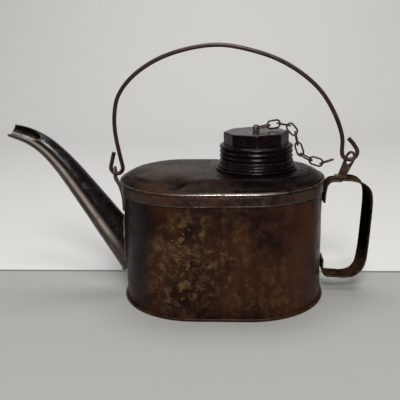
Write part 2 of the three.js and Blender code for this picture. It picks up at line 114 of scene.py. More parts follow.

# %% [markdown]
# ## Floor, room and lights
# Dark polished tin shows its surroundings more than its own colour. Two lights high in front
# light the rim and the spout, whose bright lines are also painted highlights in their finishes; a
# soft one from the left rounds the body, and one overhead washes the pale card that sweeps up
# behind. The room is a World shader: its brightness depends only on the direction that a ray
# takes, so it is pale behind the can and nearly black in front of it.

# %% Shader shorthand


def new_node(tree, kind, **values):
    node = tree.nodes.new(kind)
    for name, value in values.items():
        node.inputs[name.replace("_", " ")].default_value = value
    return node


def join(tree, source, target):
    tree.links.new(source, target)


def put(tree, socket, value):
    """Feeds a socket from another socket, or sets it to a constant."""
    if isinstance(value, bpy.types.NodeSocket):
        join(tree, value, socket)
    else:
        socket.default_value = value


def maths(tree, operation, first, second=0.0):
    node = tree.nodes.new("ShaderNodeMath")
    node.operation = operation
    put(tree, node.inputs[0], first)
    put(tree, node.inputs[1], second)
    return node.outputs[0]


def ease(tree, value, low, high, out_low=0.0, out_high=1.0):
    """Maps low..high to out_low..out_high with soft ends."""
    node = tree.nodes.new("ShaderNodeMapRange")
    node.interpolation_type = "SMOOTHSTEP"
    put(tree, node.inputs["Value"], value)
    limits = {"From Min": low, "From Max": high, "To Min": out_low, "To Max": out_high}
    for name, number in limits.items():
        put(tree, node.inputs[name], number)
    return node.outputs["Result"]


def tint(tree, mask, first, second):
    """Mixes two colours by a mask."""
    node = tree.nodes.new("ShaderNodeMix")
    node.data_type = "RGBA"
    put(tree, node.inputs[0], mask)
    put(tree, node.inputs[6], first)
    put(tree, node.inputs[7], second)
    return node.outputs[2]


def rgb(red, green, blue):
    return (red, green, blue, 1.0)


print("shader shorthand ready")

# %% Light the room
PALE_WALL = rgb(0.62, 0.62, 0.60)
DARK_ROOM = rgb(0.012, 0.010, 0.010)
SOFT_CEILING = rgb(0.035, 0.034, 0.033)


def room_world():
    world = bpy.data.worlds.new("room")
    world.use_nodes = True
    tree = world.node_tree
    tree.nodes.clear()
    direction = tree.nodes.new("ShaderNodeTexCoord").outputs["Generated"]
    parts = tree.nodes.new("ShaderNodeSeparateXYZ")
    join(tree, direction, parts.inputs[0])
    behind = ease(tree, parts.outputs["Y"], 0.30, 0.80)
    overhead = ease(tree, parts.outputs["Z"], 0.2, 0.9)
    sides = tint(tree, behind, DARK_ROOM, PALE_WALL)
    seen = tint(tree, overhead, sides, SOFT_CEILING)
    is_camera = tree.nodes.new("ShaderNodeLightPath").outputs["Is Camera Ray"]
    background = tree.nodes.new("ShaderNodeBackground")
    join(tree, tint(tree, is_camera, seen, PALE_WALL), background.inputs["Color"])
    output = tree.nodes.new("ShaderNodeOutputWorld")
    join(tree, background.outputs[0], output.inputs["Surface"])
    return world


WARM = (1.0, 0.97, 0.93)
NEUTRAL = (1.0, 1.0, 1.0)
COOL = (0.94, 0.97, 1.0)


def area_light(name, place, aim, size, power, colour):
    data = bpy.data.lights.new(name, "AREA")
    data.size = size
    data.energy = power
    data.color = colour
    lamp = bpy.data.objects.new(name, data)
    facing = (Vector(aim) - Vector(place)).to_track_quat("-Z", "Y")
    lamp.matrix_world = Matrix.Translation(place) @ facing.to_matrix().to_4x4()
    bpy.context.scene.collection.objects.link(lamp)


bpy.context.scene.world = room_world()
bpy.context.scene.view_settings.view_transform = "Standard"
area_light("window_high_front", (0.05, -1.05, 0.95), (0.0, 0.0, 0.08), 0.34, 17.0, WARM)
area_light("ceiling_front", (0.05, -0.7, 1.3), (0.0, 0.0, 0.05), 0.35, 8.0, NEUTRAL)
area_light("window_left", (-1.3, 0.1, 0.75), (-0.05, 0.0, 0.08), 0.5, 1.6, COOL)
area_light("wall_wash", (0.0, 0.35, 1.5), (0.0, 1.15, 0.2), 0.8, 16.0, NEUTRAL)

# %% Lay the floor
FLOOR_FRONT = -0.62         # the table ends here, in metres
CARD_EDGE = 0.042           # the table's card meets the paler backing card here
TABLE_CARD = rgb(0.285, 0.286, 0.273)
WALL_CARD = rgb(0.525, 0.52, 0.507)
JOINT_SHADOW = rgb(0.05, 0.045, 0.05)
SWEEP_START = 0.75
SWEEP_RADIUS = 0.5
SWEEP_STEPS = 12
SWEEP_TOP = 1.3
FLOOR_NEAR_END = -2.6
FLOOR_SIDE = 2.2


def floor_profile():
    """The sweep seen from the side: flat, a quarter turn, then straight up."""
    points = [(FLOOR_NEAR_END, 0.0), (SWEEP_START, 0.0)]
    for step in range(1, SWEEP_STEPS + 1):
        angle = math.pi / 2 * step / SWEEP_STEPS
        points.append((
            SWEEP_START + SWEEP_RADIUS * math.sin(angle),
            SWEEP_RADIUS * (1 - math.cos(angle)),
        ))
    points.append((SWEEP_START + SWEEP_RADIUS, SWEEP_TOP))
    return points


def floor_paint():
    """Two matt cards with a thin dark joint. Glossy rays see darkness past the table's front."""
    material = bpy.data.materials.new("table_card")
    material.use_nodes = True
    tree = material.node_tree
    shader = tree.nodes["Principled BSDF"]
    place = tree.nodes.new("ShaderNodeNewGeometry").outputs["Position"]
    parts = tree.nodes.new("ShaderNodeSeparateXYZ")
    join(tree, place, parts.inputs[0])
    past_edge = ease(tree, parts.outputs["Y"], FLOOR_FRONT + 0.2, FLOOR_FRONT - 0.1)
    wall_side = ease(tree, parts.outputs["Y"], CARD_EDGE - 0.0006, CARD_EDGE + 0.0006)
    card = tint(tree, wall_side, TABLE_CARD, WALL_CARD)
    off_edge = maths(tree, "ABSOLUTE", maths(tree, "SUBTRACT", parts.outputs["Y"], CARD_EDGE))
    card = tint(tree, ease(tree, off_edge, 0.0028, 0.0008, 0.0, 0.75), card, JOINT_SHADOW)
    glossy = tree.nodes.new("ShaderNodeLightPath").outputs["Is Glossy Ray"]
    dark = maths(tree, "MULTIPLY", past_edge, glossy)
    join(tree, tint(tree, dark, card, rgb(0.02, 0.02, 0.02)), shader.inputs["Base Color"])
    shader.inputs["Roughness"].default_value = 0.9
    shader.inputs["Specular IOR Level"].default_value = 0.1
    return material


def lay_floor():
    profile = floor_profile()
    points = [(side * FLOOR_SIDE, y, z) for side in (-1, 1) for y, z in profile]
    count = len(profile)
    faces = [(i, i + 1, count + i + 1, count + i) for i in range(count - 1)]
    mesh = bpy.data.meshes.new("floor")
    mesh.from_pydata(points, [], [tuple(reversed(f)) for f in faces])
    mesh.shade_smooth()
    mesh.materials.append(floor_paint())
    floor = bpy.data.objects.new("floor", mesh)
    bpy.context.scene.collection.objects.link(floor)
    return floor


floor = lay_floor()
print("floor faces:", len(floor.data.polygons))

# %% [markdown]
# ## Patina: the effects that every metal shares
# Old oil cans carry the same marks everywhere, in different amounts: cloudy patches where the
# varnish thinned, fine speckles of rust, bare shiny edges, faint scratches and vertical runs
# of dried oil. Each effect is one node group with named inputs, so a material is only a list
# of amounts. The groups give masks and heights; the shader itself stays in the material.

# %% Start a node group


def effect_group(name, inputs, outputs):
    """Makes an empty shader group. Inputs are (name, kind, default), outputs are names."""
    group = bpy.data.node_groups.new(name, "ShaderNodeTree")
    for label, kind, default in inputs:
        socket = group.interface.new_socket(label, in_out="INPUT", socket_type=kind)
        if default is not None:
            socket.default_value = default
    for label in outputs:
        group.interface.new_socket(label, in_out="OUTPUT", socket_type="NodeSocketFloat")
    return group, group.nodes.new("NodeGroupInput"), group.nodes.new("NodeGroupOutput")


def grain(tree, vector, scale, detail=3.0, roughness=0.55, distortion=0.0):
    node = new_node(
        tree, "ShaderNodeTexNoise", Detail=detail, Roughness=roughness, Distortion=distortion,
    )
    put(tree, node.inputs["Scale"], scale)
    join(tree, vector, node.inputs["Vector"])
    return node.outputs["Fac"]


def stretched(tree, vector, scale, shift=(0.0, 0.0, 0.0)):
    node = tree.nodes.new("ShaderNodeMapping")
    join(tree, vector, node.inputs["Vector"])
    node.inputs["Scale"].default_value = scale
    node.inputs["Location"].default_value = shift
    return node.outputs["Vector"]


FLOAT = "NodeSocketFloat"
VECTOR = "NodeSocketVector"
print("node group shorthand ready")

# %% Cloudy patches and speckles


def make_patches():
    """Broad clouds, thumb-sized blotches broken into islands, fine speckles and pits."""
    group, source, result = effect_group(
        "varnish_patches",
        [("Vector", VECTOR, None), ("Cloud Scale", FLOAT, 18.0), ("Blotch Scale", FLOAT, 90.0),
         ("Speckle Scale", FLOAT, 520.0)],
        ["Cloud", "Blotch", "Speckle", "Pit"],
    )
    place = source.outputs["Vector"]
    cloud = grain(group, place, source.outputs["Cloud Scale"], 5.0, 0.62, 0.4)
    blotch = grain(group, place, source.outputs["Blotch Scale"], 9.0, 0.74, 0.5)
    speckle = grain(group, place, source.outputs["Speckle Scale"], 3.0, 0.7)
    elsewhere = stretched(group, place, (1, 1, 1), (3.1, 1.7, 5.3))
    pits = grain(group, elsewhere, source.outputs["Speckle Scale"], 2.0, 0.5)
    join(group, ease(group, cloud, 0.34, 0.66), result.inputs["Cloud"])
    join(group, ease(group, blotch, 0.47, 0.62), result.inputs["Blotch"])
    join(group, ease(group, speckle, 0.50, 0.68), result.inputs["Speckle"])
    join(group, ease(group, pits, 0.62, 0.74), result.inputs["Pit"])
    return group


patches_group = make_patches()
print("group:", patches_group.name)

# %% Bare edges


def make_edges():
    """High on ridges and rims, where hands and cloths rub the varnish off, broken by noise."""
    group, source, result = effect_group(
        "rubbed_edges",
        [("Vector", VECTOR, None), ("Sharpness", FLOAT, 0.52), ("Breakup", FLOAT, 260.0)],
        ["Ridge", "Hollow"],
    )
    point = group.nodes.new("ShaderNodeNewGeometry").outputs["Pointiness"]
    broken = grain(group, source.outputs["Vector"], source.outputs["Breakup"], 4.0, 0.65)
    start = source.outputs["Sharpness"]
    ridge = ease(group, point, start, maths(group, "ADD", start, 0.09))
    hollow = ease(group, point, 0.485, 0.42)
    join(group, maths(group, "MULTIPLY", ridge, ease(group, broken, 0.38, 0.6)), result.inputs["Ridge"])
    join(group, hollow, result.inputs["Hollow"])
    return group


edges_group = make_edges()
print("group:", edges_group.name)

# %% Runs and scratches


def make_runs():
    """Tall narrow streaks down the walls, where oil ran and dried."""
    group, source, result = effect_group(
        "oil_runs", [("Vector", VECTOR, None), ("Width Scale", FLOAT, 110.0)], ["Run"],
    )
    tall = stretched(group, source.outputs["Vector"], (1.0, 1.0, 0.09))
    streak = grain(group, tall, source.outputs["Width Scale"], 4.0, 0.6, 0.25)
    join(group, ease(group, streak, 0.46, 0.64), result.inputs["Run"])
    return group


def make_scratches():
    """Fine hairlines in two directions."""
    group, source, result = effect_group(
        "hairlines", [("Vector", VECTOR, None), ("Fineness", FLOAT, 900.0)], ["Line"],
    )
    lines = []
    for scale, shift in (((1.0, 1.0, 0.035), (0.0, 0.0, 0.0)), ((0.06, 0.4, 1.0), (2.0, 1.0, 0.5))):
        along = stretched(group, source.outputs["Vector"], scale, shift)
        lines.append(ease(group, grain(group, along, source.outputs["Fineness"], 2.0, 0.5), 0.62, 0.72))
    join(group, maths(group, "MAXIMUM", lines[0], lines[1]), result.inputs["Line"])
    return group


runs_group = make_runs()
scratches_group = make_scratches()
print("groups:", runs_group.name, scratches_group.name)

# %% A soft-edged area


def make_area():
    """One where the surface is near a chosen point, fading to zero at a chosen reach."""
    group, source, result = effect_group(
        "soft_area",
        [("Vector", VECTOR, None), ("Centre", VECTOR, None), ("Reach", VECTOR, None)],
        ["Inside"],
    )
    away = group.nodes.new("ShaderNodeVectorMath")
    away.operation = "SUBTRACT"
    join(group, source.outputs["Vector"], away.inputs[0])
    join(group, source.outputs["Centre"], away.inputs[1])
    shared = group.nodes.new("ShaderNodeVectorMath")
    shared.operation = "DIVIDE"
    join(group, away.outputs[0], shared.inputs[0])
    join(group, source.outputs["Reach"], shared.inputs[1])
    length = group.nodes.new("ShaderNodeVectorMath")
    length.operation = "LENGTH"
    join(group, shared.outputs[0], length.inputs[0])
    join(group, ease(group, length.outputs["Value"], 1.0, 0.25), result.inputs["Inside"])
    return group


area_group = make_area()
print("group:", area_group.name)

# %% [markdown]
# ## One recipe for old metal
# Every finish on the can is the same story told with other amounts: a dark lacquer over
# metal, cloudy where it thinned, ochre where the tin shows through, rust red in places and
# rubbed bare on the edges. The recipe builds that shader once for each material, from named
# amounts, and bends the surface with a little bump so that no reflection stays perfect.

# %% The recipe


def use_group(tree, group, vector, **values):
    node = tree.nodes.new("ShaderNodeGroup")
    node.node_tree = group
    join(tree, vector, node.inputs["Vector"])
    for name, value in values.items():
        node.inputs[name.replace("_", " ")].default_value = value
    return node


def old_metal(
    name, dark, mid, worn, rust, bare, *, clouds, blotches=90.0, speckles=520.0,
    worn_amount, rust_amount, bare_amount, run_amount=0.0, metallic, gloss, shine=0.25,
    pits=0.00006, dents=0.0, areas=(), edge_start=0.52, painted_light_marks=False,
):
    """Colours are lacquer (dark, mid), tin showing through (worn), rust, and bare metal.

    clouds, blotches and speckles are noise scales. metallic and gloss (roughness) are pairs:
    lacquered and worn. pits and dents are heights in metres. areas lists (target, centre mm,
    reach mm, amount): more "worn", "rust", "dark" or "bare" there; the "dark" areas are
    painted shade, in places over real darkening, and the cover's "bare" area is a painted
    highlight. The last switch reads the painted shade and the painted highlight line that
    the spout's mesh carries.
    """
    material = bpy.data.materials.new(name)
    material.use_nodes = True
    tree = material.node_tree
    shader = tree.nodes["Principled BSDF"]
    shader.inputs["Specular IOR Level"].default_value = shine
    place = tree.nodes.new("ShaderNodeTexCoord").outputs["Object"]
    patch = use_group(
        tree, patches_group, place,
        Cloud_Scale=clouds, Blotch_Scale=blotches, Speckle_Scale=speckles,
    )
    edge = use_group(tree, edges_group, place, Sharpness=edge_start)
    run = use_group(tree, runs_group, place)
    line = use_group(tree, scratches_group, place)

    extra = {"worn": 0.0, "rust": 0.0, "dark": 0.0, "bare": 0.0}
    for target, centre, reach, amount in areas:
        spot = use_group(tree, area_group, place, Centre=Vector(centre) * MM, Reach=Vector(reach) * MM)
        more = maths(tree, "MULTIPLY", spot.outputs["Inside"], amount)
        extra[target] = maths(tree, "ADD", extra[target], more)
    if painted_light_marks:
        # Painted shade: the spout's upper side is darkened by a mark stored on its mesh.
        top_shade = tree.nodes.new("ShaderNodeAttribute")
        top_shade.attribute_name = "painted_top_shade"
        extra["dark"] = maths(tree, "MULTIPLY", top_shade.outputs["Fac"], 0.92)
        # Painted highlight: a bright line along the spout's seam, stored on its mesh.
        painted_highlight = tree.nodes.new("ShaderNodeAttribute")
        painted_highlight.attribute_name = "painted_highlight"

    lacquer = tint(tree, patch.outputs["Cloud"], dark, mid)
    thinned = maths(tree, "ADD", extra["worn"], worn_amount)
    mottled = maths(tree, "MULTIPLY", patch.outputs["Blotch"], thinned)
    dusted = maths(tree, "MULTIPLY", patch.outputs["Speckle"], mottled)
    patchy = maths(tree, "ADD", maths(tree, "MULTIPLY", mottled, 0.6), dusted)
    shown = maths(tree, "MINIMUM", patchy, 1.0)
    colour = tint(tree, shown, lacquer, worn)
    freckled = maths(tree, "MULTIPLY", patch.outputs["Speckle"], rust_amount)
    rusted = maths(tree, "MINIMUM", maths(tree, "ADD", extra["rust"], freckled), 1.0)
    colour = tint(tree, rusted, colour, rust)
    streaked = maths(tree, "MULTIPLY", run.outputs["Run"], run_amount)
    colour = tint(tree, streaked, colour, dark)
    colour = tint(tree, maths(tree, "MINIMUM", extra["dark"], 1.0), colour, dark)
    colour = tint(tree, maths(tree, "MULTIPLY", edge.outputs["Hollow"], 0.7), colour, dark)
    worn_ridge = maths(tree, "MULTIPLY", edge.outputs["Ridge"], bare_amount)
    rubbed = maths(tree, "MAXIMUM", worn_ridge, extra["bare"])
    colour = tint(tree, rubbed, colour, bare)
    if painted_light_marks:
        # Painted highlight: bare colour laid along the seam line.
        uneven = ease(tree, patch.outputs["Blotch"], 0.0, 1.0, 0.95, 0.45)
        colour = tint(tree, maths(tree, "MULTIPLY", painted_highlight.outputs["Fac"], uneven), colour, bare)
    join(tree, colour, shader.inputs["Base Color"])

    metal = ease(tree, shown, 0.0, 1.0, metallic[0], metallic[1])
    join(tree, maths(tree, "MAXIMUM", metal, rubbed), shader.inputs["Metallic"])
    matt = maths(tree, "MULTIPLY_ADD", patch.outputs["Blotch"], gloss[1] - gloss[0])
    matt.node.inputs[2].default_value = gloss[0]
    rough = maths(tree, "ADD", matt, maths(tree, "MULTIPLY", rusted, 0.22))
    rough = maths(tree, "ADD", rough, maths(tree, "MULTIPLY", line.outputs["Line"], 0.08))
    join(tree, rough, shader.inputs["Roughness"])

    texture = maths(tree, "MULTIPLY", patch.outputs["Pit"], -pits)
    texture = maths(tree, "ADD", texture, maths(tree, "MULTIPLY", patch.outputs["Speckle"], 0.6 * pits))
    texture = maths(tree, "ADD", texture, maths(tree, "MULTIPLY", line.outputs["Line"], -0.25 * pits))
    texture = maths(tree, "ADD", texture, maths(tree, "MULTIPLY", patch.outputs["Blotch"], 0.8 * pits))
    if dents:
        slow = grain(tree, place, 26.0, 1.0, 0.4)
        texture = maths(tree, "ADD", texture, maths(tree, "MULTIPLY", slow, dents))
    bump = new_node(tree, "ShaderNodeBump", Strength=1.0, Distance=1.0)
    join(tree, texture, bump.inputs["Height"])
    join(tree, bump.outputs["Normal"], shader.inputs["Normal"])
    return material


print("recipe ready")

# %% [markdown]
# ## The finishes
# The body wears brown lacquer that has gone ochre and speckled at the middle of its side,
# red near the handle and darker towards the spout end, real darkening deepened with painted
# shade where the wall turns away. The spout and the cap were handled with oily fingers and are
# almost black; the spout's upper side carries painted shade and its seam a painted highlight
# line. The bail, ears and chain never had lacquer: they are iron that rusted brown and was oiled
# again.

# %% Lacquered tin
body_tin = old_metal(
    "brown_lacquered_tin",
    dark=rgb(0.006, 0.0014, 0.0009), mid=rgb(0.036, 0.0120, 0.0050), worn=rgb(0.125, 0.080, 0.036),
    rust=rgb(0.050, 0.010, 0.003), bare=rgb(0.120, 0.090, 0.070),
    worn_amount=0.20, rust_amount=0.22, run_amount=0.45, bare_amount=0.5, dents=0.0006,
    metallic=(0.0, 0.2), gloss=(0.31, 0.50), shine=0.12,
    clouds=26.0, blotches=130.0, speckles=800.0, pits=0.00009,
    areas=(
        ("worn", (-24, -61, 50), (52, 60, 52), 0.85),
        ("worn", (-45, -61, 22), (26, 60, 26), 0.45),
        ("worn", (35, -61, 20), (40, 60, 24), 0.25),
        ("worn", (-20, 61, 50), (55, 60, 46), 0.40),
        ("rust", (62, -45, 74), (22, 60, 26), 0.40),
        ("rust", (-52, -52, 88), (30, 40, 16), 0.40),
        # Painted shade over some real darkening: the left end and the upper-left front, where the wall
        # turns away from the light.
        ("dark", (-72, -40, 60), (30, 45, 80), 1.0),
        ("dark", (-60, -61, 80), (30, 60, 24), 0.6),
        ("rust", (40, -61, 30), (60, 60, 50), 0.10),
    ),
)
cover_tin = old_metal(
    "dark_cover_tin",
    dark=rgb(0.0022, 0.0010, 0.0010), mid=rgb(0.020, 0.010, 0.006), worn=rgb(0.060, 0.048, 0.034),
    rust=rgb(0.030, 0.009, 0.004), bare=rgb(0.30, 0.25, 0.21),
    worn_amount=0.22, rust_amount=0.20, bare_amount=0.8, dents=0.0006,
    # A low edge_start lets bare rubbed metal run along the rim and crease: wear, and also painted
    # highlight.
    metallic=(0.0, 0.02), gloss=(0.24, 0.42), shine=0.03, clouds=34.0, blotches=120.0, edge_start=0.506,
    areas=(
        ("worn", (-40, 8, 109), (52, 44, 5), 0.75),
        # Painted highlight: bright bare metal along the front of the rolled rim, where the lamps catch
        # it.
        ("bare", (24, -62, 101.2), (92, 9, 0.75), 0.9),
        # Painted shade: darker round the neck joint and down the right-front slope.
        ("dark", (34, -20, 106), (62, 60, 20), 1.2),
        ("rust", (-50, -52, 104), (40, 16, 14), 0.45),
    ),
)
band_tin = old_metal(
    "brown_band_tin",
    dark=rgb(0.009, 0.003, 0.002), mid=rgb(0.034, 0.015, 0.009), worn=rgb(0.090, 0.060, 0.036),
    rust=rgb(0.042, 0.011, 0.006), bare=rgb(0.15, 0.11, 0.09),
    worn_amount=0.35, rust_amount=0.25, run_amount=0.1, bare_amount=0.5, dents=0.0004,
    metallic=(0.0, 0.25), gloss=(0.33, 0.50), shine=0.2, clouds=34.0, blotches=150.0,
)
print("tin finishes:", body_tin.name, cover_tin.name, band_tin.name)

# %% Oily black tin
spout_tin = old_metal(
    "oily_black_tin",
    dark=rgb(0.003, 0.0015, 0.0018), mid=rgb(0.042, 0.030, 0.027), worn=rgb(0.110, 0.090, 0.066),
    rust=rgb(0.040, 0.018, 0.018), bare=rgb(0.29, 0.245, 0.215),
    worn_amount=0.55, rust_amount=0.15, bare_amount=0.5, dents=0.00006,
    metallic=(0.05, 0.25), gloss=(0.22, 0.36), clouds=26.0, pits=0.00003,
    # Painted shade on the spout's upper side and a painted highlight line along its seam, read from
    # marks on the mesh.
    edge_start=0.505, painted_light_marks=True,
)
cap_iron = old_metal(
    "oily_black_iron",
    dark=rgb(0.0016, 0.0007, 0.0008), mid=rgb(0.0055, 0.0022, 0.0024), worn=rgb(0.075, 0.058, 0.048),
    rust=rgb(0.014, 0.002, 0.003), bare=rgb(0.10, 0.085, 0.075),
    worn_amount=0.06, rust_amount=0.30, bare_amount=0.45, dents=0.00015,
    metallic=(0.0, 0.15), gloss=(0.20, 0.34), shine=0.10, clouds=30.0, blotches=140.0, pits=0.00003,
    # Lighter top face: wear, and a painted sheen for the light that the flat top catches.
    areas=(("worn", (28, 0, 139), (26, 26, 2.5), 0.7),),
)
print("black finishes:", spout_tin.name, cap_iron.name)

# %% Strap and rusty iron
strap_tin = old_metal(
    "olive_brown_strap",
    dark=rgb(0.0018, 0.0009, 0.0008), mid=rgb(0.022, 0.012, 0.008), worn=rgb(0.075, 0.052, 0.030),
    rust=rgb(0.034, 0.010, 0.006), bare=rgb(0.12, 0.10, 0.08),
    worn_amount=0.50, rust_amount=0.25, bare_amount=0.45,
    metallic=(0.0, 0.02), gloss=(0.42, 0.60), shine=0.0, clouds=40.0, blotches=150.0,
    # Painted shade: the inside of the grip is made nearly black.
    areas=(("dark", (118, 0, 62), (12, 40, 34), 2.0),),
)
bail_iron = old_metal(
    "red_brown_wire",
    dark=rgb(0.008, 0.004, 0.004), mid=rgb(0.026, 0.011, 0.008), worn=rgb(0.070, 0.040, 0.028),
    rust=rgb(0.070, 0.026, 0.014), bare=rgb(0.16, 0.125, 0.105),
    worn_amount=0.35, rust_amount=0.35, bare_amount=0.3,
    metallic=(0.0, 0.2), gloss=(0.28, 0.50), shine=0.3,
    clouds=45.0, blotches=300.0, speckles=1100.0, pits=0.00004,
)
ear_iron = old_metal(
    "olive_rusted_iron",
    dark=rgb(0.006, 0.003, 0.002), mid=rgb(0.034, 0.021, 0.012), worn=rgb(0.100, 0.068, 0.034),
    rust=rgb(0.070, 0.030, 0.012), bare=rgb(0.19, 0.15, 0.11),
    worn_amount=0.55, rust_amount=0.35, bare_amount=0.4,
    metallic=(0.1, 0.45), gloss=(0.42, 0.6), clouds=60.0, blotches=320.0, speckles=1100.0, pits=0.00007,
)
chain_iron = old_metal(
    "brown_chain_wire",
    dark=rgb(0.008, 0.004, 0.003), mid=rgb(0.030, 0.015, 0.009), worn=rgb(0.120, 0.072, 0.032),
    rust=rgb(0.085, 0.034, 0.014), bare=rgb(0.18, 0.14, 0.10),
    worn_amount=0.45, rust_amount=0.45, bare_amount=0.3,
    metallic=(0.0, 0.25), gloss=(0.38, 0.56), clouds=70.0, blotches=380.0, speckles=1300.0, pits=0.00004,
)
print("iron finishes:", strap_tin.name, bail_iron.name, ear_iron.name, chain_iron.name)

# %% Solder and cork
solder = old_metal(
    "dulled_solder",
    dark=rgb(0.020, 0.014, 0.010), mid=rgb(0.060, 0.045, 0.035), worn=rgb(0.17, 0.14, 0.11),
    rust=rgb(0.045, 0.020, 0.010), bare=rgb(0.24, 0.20, 0.17),
    worn_amount=0.5, rust_amount=0.25, bare_amount=0.5,
    metallic=(0.4, 0.8), gloss=(0.36, 0.55), clouds=60.0, blotches=260.0, speckles=900.0, pits=0.0001,
)
gasket_cork = old_metal(
    "oil_soaked_cork",
    dark=rgb(0.045, 0.022, 0.010), mid=rgb(0.125, 0.070, 0.034), worn=rgb(0.21, 0.135, 0.070),
    rust=rgb(0.055, 0.025, 0.011), bare=rgb(0.21, 0.13, 0.07),
    worn_amount=0.6, rust_amount=0.6, bare_amount=0.2,
    metallic=(0.0, 0.0), gloss=(0.75, 0.85), clouds=120.0, blotches=420.0, speckles=1500.0, pits=0.0002,
)
print("small finishes:", solder.name, gasket_cork.name)

# %% [markdown]
# ## Shaping sheet metal
# Nearly every piece is a skin stretched over rings: a wall is many ovals, a spout many
# circles. Rings are written in millimetres and turned into one closed piece whose faces all
# look outward, because thickness and shading both depend on that.

# %% Skins and finished pieces


def make_mesh(name, points, faces, crease=32):
    mesh = bpy.data.meshes.new(name)
    mesh.from_pydata([Vector(p) * MM for p in points], [], faces)
    work = bmesh.new()
    work.from_mesh(mesh)
    bmesh.ops.remove_doubles(work, verts=work.verts, dist=1e-6)
    bmesh.ops.dissolve_degenerate(work, edges=work.edges, dist=1e-7)
    bmesh.ops.recalc_face_normals(work, faces=work.faces)
    work.to_mesh(mesh)
    work.free()
    obj = bpy.data.objects.new(name, mesh)
    bpy.context.scene.collection.objects.link(obj)
    smooth(obj, crease)
    return obj


def smooth(obj, crease=32):
    obj.data.shade_smooth()
    obj.data.set_sharp_from_angle(angle=math.radians(crease))


def skin(name, rings, ends="closed", crease=32):
    """Joins rings. ends: "closed" caps both, "loop" joins last to first, "open" leaves them."""
    count = len(rings[0])
    points = [p for ring in rings for p in ring]
    spans = len(rings) if ends == "loop" else len(rings) - 1
    faces = []
    for i in range(spans):
        a, b = i * count, ((i + 1) % len(rings)) * count
        for j in range(count):
            k = (j + 1) % count
            faces.append((a + j, a + k, b + k, b + j))
    if ends == "closed":
        faces.append(tuple(range(count - 1, -1, -1)))
        faces.append(tuple(len(points) - count + j for j in range(count)))
    return make_mesh(name, points, faces, crease)


def finish_piece(obj, body, nodes, material):
    """Dresses a piece, lets it ride its body and hides the design nodes it stands for."""
    obj.data.materials.clear()
    obj.data.materials.append(material)
    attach(obj, body)
    if nodes:
        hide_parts(*nodes)
    print(f"{obj.name}: {len(obj.data.polygons)} faces, rides {body}")
    return obj


def carve(obj, tools, crease=32):
    """Cuts tools out of a piece and throws the tools away."""
    for tool in tools:
        modifier = obj.modifiers.new("carve", "BOOLEAN")
        modifier.operation = "DIFFERENCE"
        modifier.solver = "EXACT"
        modifier.object = tool
    graph = bpy.context.evaluated_depsgraph_get()
    mesh = bpy.data.meshes.new_from_object(obj.evaluated_get(graph))
    obj.modifiers.clear()
    obj.data = mesh
    for tool in tools:
        bpy.data.objects.remove(tool)
    smooth(obj, crease)
    return obj


print("skins ready")

# %% Ovals, turned pieces and waves


def oval(half_flat, radius, z, per_end=44, per_side=18):
    """The can's plan outline at one height, evenly enough divided to take dents."""
    ring = []
    for side in (1, -1):
        start = -math.pi / 2 if side > 0 else math.pi / 2
        for i in range(per_end + 1):
            angle = start + math.pi * i / per_end
            x = side * half_flat + radius * math.cos(angle)
            ring.append(Vector((x, radius * math.sin(angle), z)))
        for i in range(1, per_side):
            x = side * half_flat * (1 - 2 * i / per_side)
            ring.append(Vector((x, side * radius, z)))
    return ring


def circle(radius, z, centre_x=0.0, count=96):
    turns = [2 * math.pi * i / count for i in range(count)]
    return [Vector((centre_x + radius * math.cos(a), radius * math.sin(a), z)) for a in turns]


def outward(point):
    """Which way the can's wall faces at a point."""
    core = max(-HALF_FLAT, min(HALF_FLAT, point.x))
    return Vector((point.x - core, point.y, 0.0)).normalized()


def wave(point, size, seed=0.0):
    """A smooth random number from about -1 to 1 that changes over the given size."""
    return noise.noise(Vector(point) / size + Vector((seed, 2 * seed, 3 * seed)))


def fade(value, low, high):
    t = max(0.0, min(1.0, (value - low) / (high - low)))
    return t * t * (3 - 2 * t)


print("outline points:", len(oval(HALF_FLAT, END_RADIUS, 0)))

# %% Smooth routes


def spline_point(p0, p1, p2, p3, t, tension):
    """Catmull-Rom: centripetal when tension is None, otherwise uniform with that tension."""
    if tension is None:
        d0, d1, d2 = ((b - a).length ** 0.5 for a, b in ((p0, p1), (p1, p2), (p2, p3)))
        m1 = ((p1 - p0) / d0 - (p2 - p0) / (d0 + d1) + (p2 - p1) / d1) * d1
        m2 = ((p2 - p1) / d1 - (p3 - p1) / (d1 + d2) + (p3 - p2) / d2) * d1
    else:
        m1, m2 = tension * (p2 - p0), tension * (p3 - p1)
    t2, t3 = t * t, t * t * t
    return (2 * t3 - 3 * t2 + 1) * p1 + (t3 - 2 * t2 + t) * m1 + (3 * t2 - 2 * t3) * p2 + (t3 - t2) * m2


def route(stops, count, tension=None):
    """Even points along a smooth line through the stops, which are (x, z) or (x, y, z)."""
    stops = [Vector(p) if len(p) == 3 else Vector((p[0], 0.0, p[1])) for p in stops]
    padded = [2 * stops[0] - stops[1], *stops, 2 * stops[-1] - stops[-2]]
    dense = []
    for i in range(len(stops) - 1):
        dense += [spline_point(*padded[i:i + 4], step / 40, tension) for step in range(40)]
    dense.append(stops[-1])
    lengths = [0.0]
    for a, b in zip(dense, dense[1:]):
        lengths.append(lengths[-1] + (b - a).length)
    points, place = [], 0
    for i in range(count + 1):
        wanted = lengths[-1] * i / count
        while place < len(dense) - 2 and lengths[place + 1] < wanted:
            place += 1
        share = (wanted - lengths[place]) / (lengths[place + 1] - lengths[place])
        points.append(dense[place].lerp(dense[place + 1], share))
    return points


def headings(points):
    """The direction of travel at every point of a route."""
    last = len(points) - 1
    return [(points[min(i + 1, last)] - points[max(i - 1, 0)]).normalized() for i in range(last + 1)]


print("route check:", [round(x, 1) for x in route([(0, 0), (10, 5), (20, 0)], 2)[1]])

# %% [markdown]
# ## Wire, solder and threads
# Bail, links, eye, screw thread and solder seams are all one idea: a round section carried
# along a path, thicker in some places. A small Geometry Nodes group does it. It reads the
# thickness from each path point, so wire keeps its gauge and solder swells and thins.

# %% The sweep group


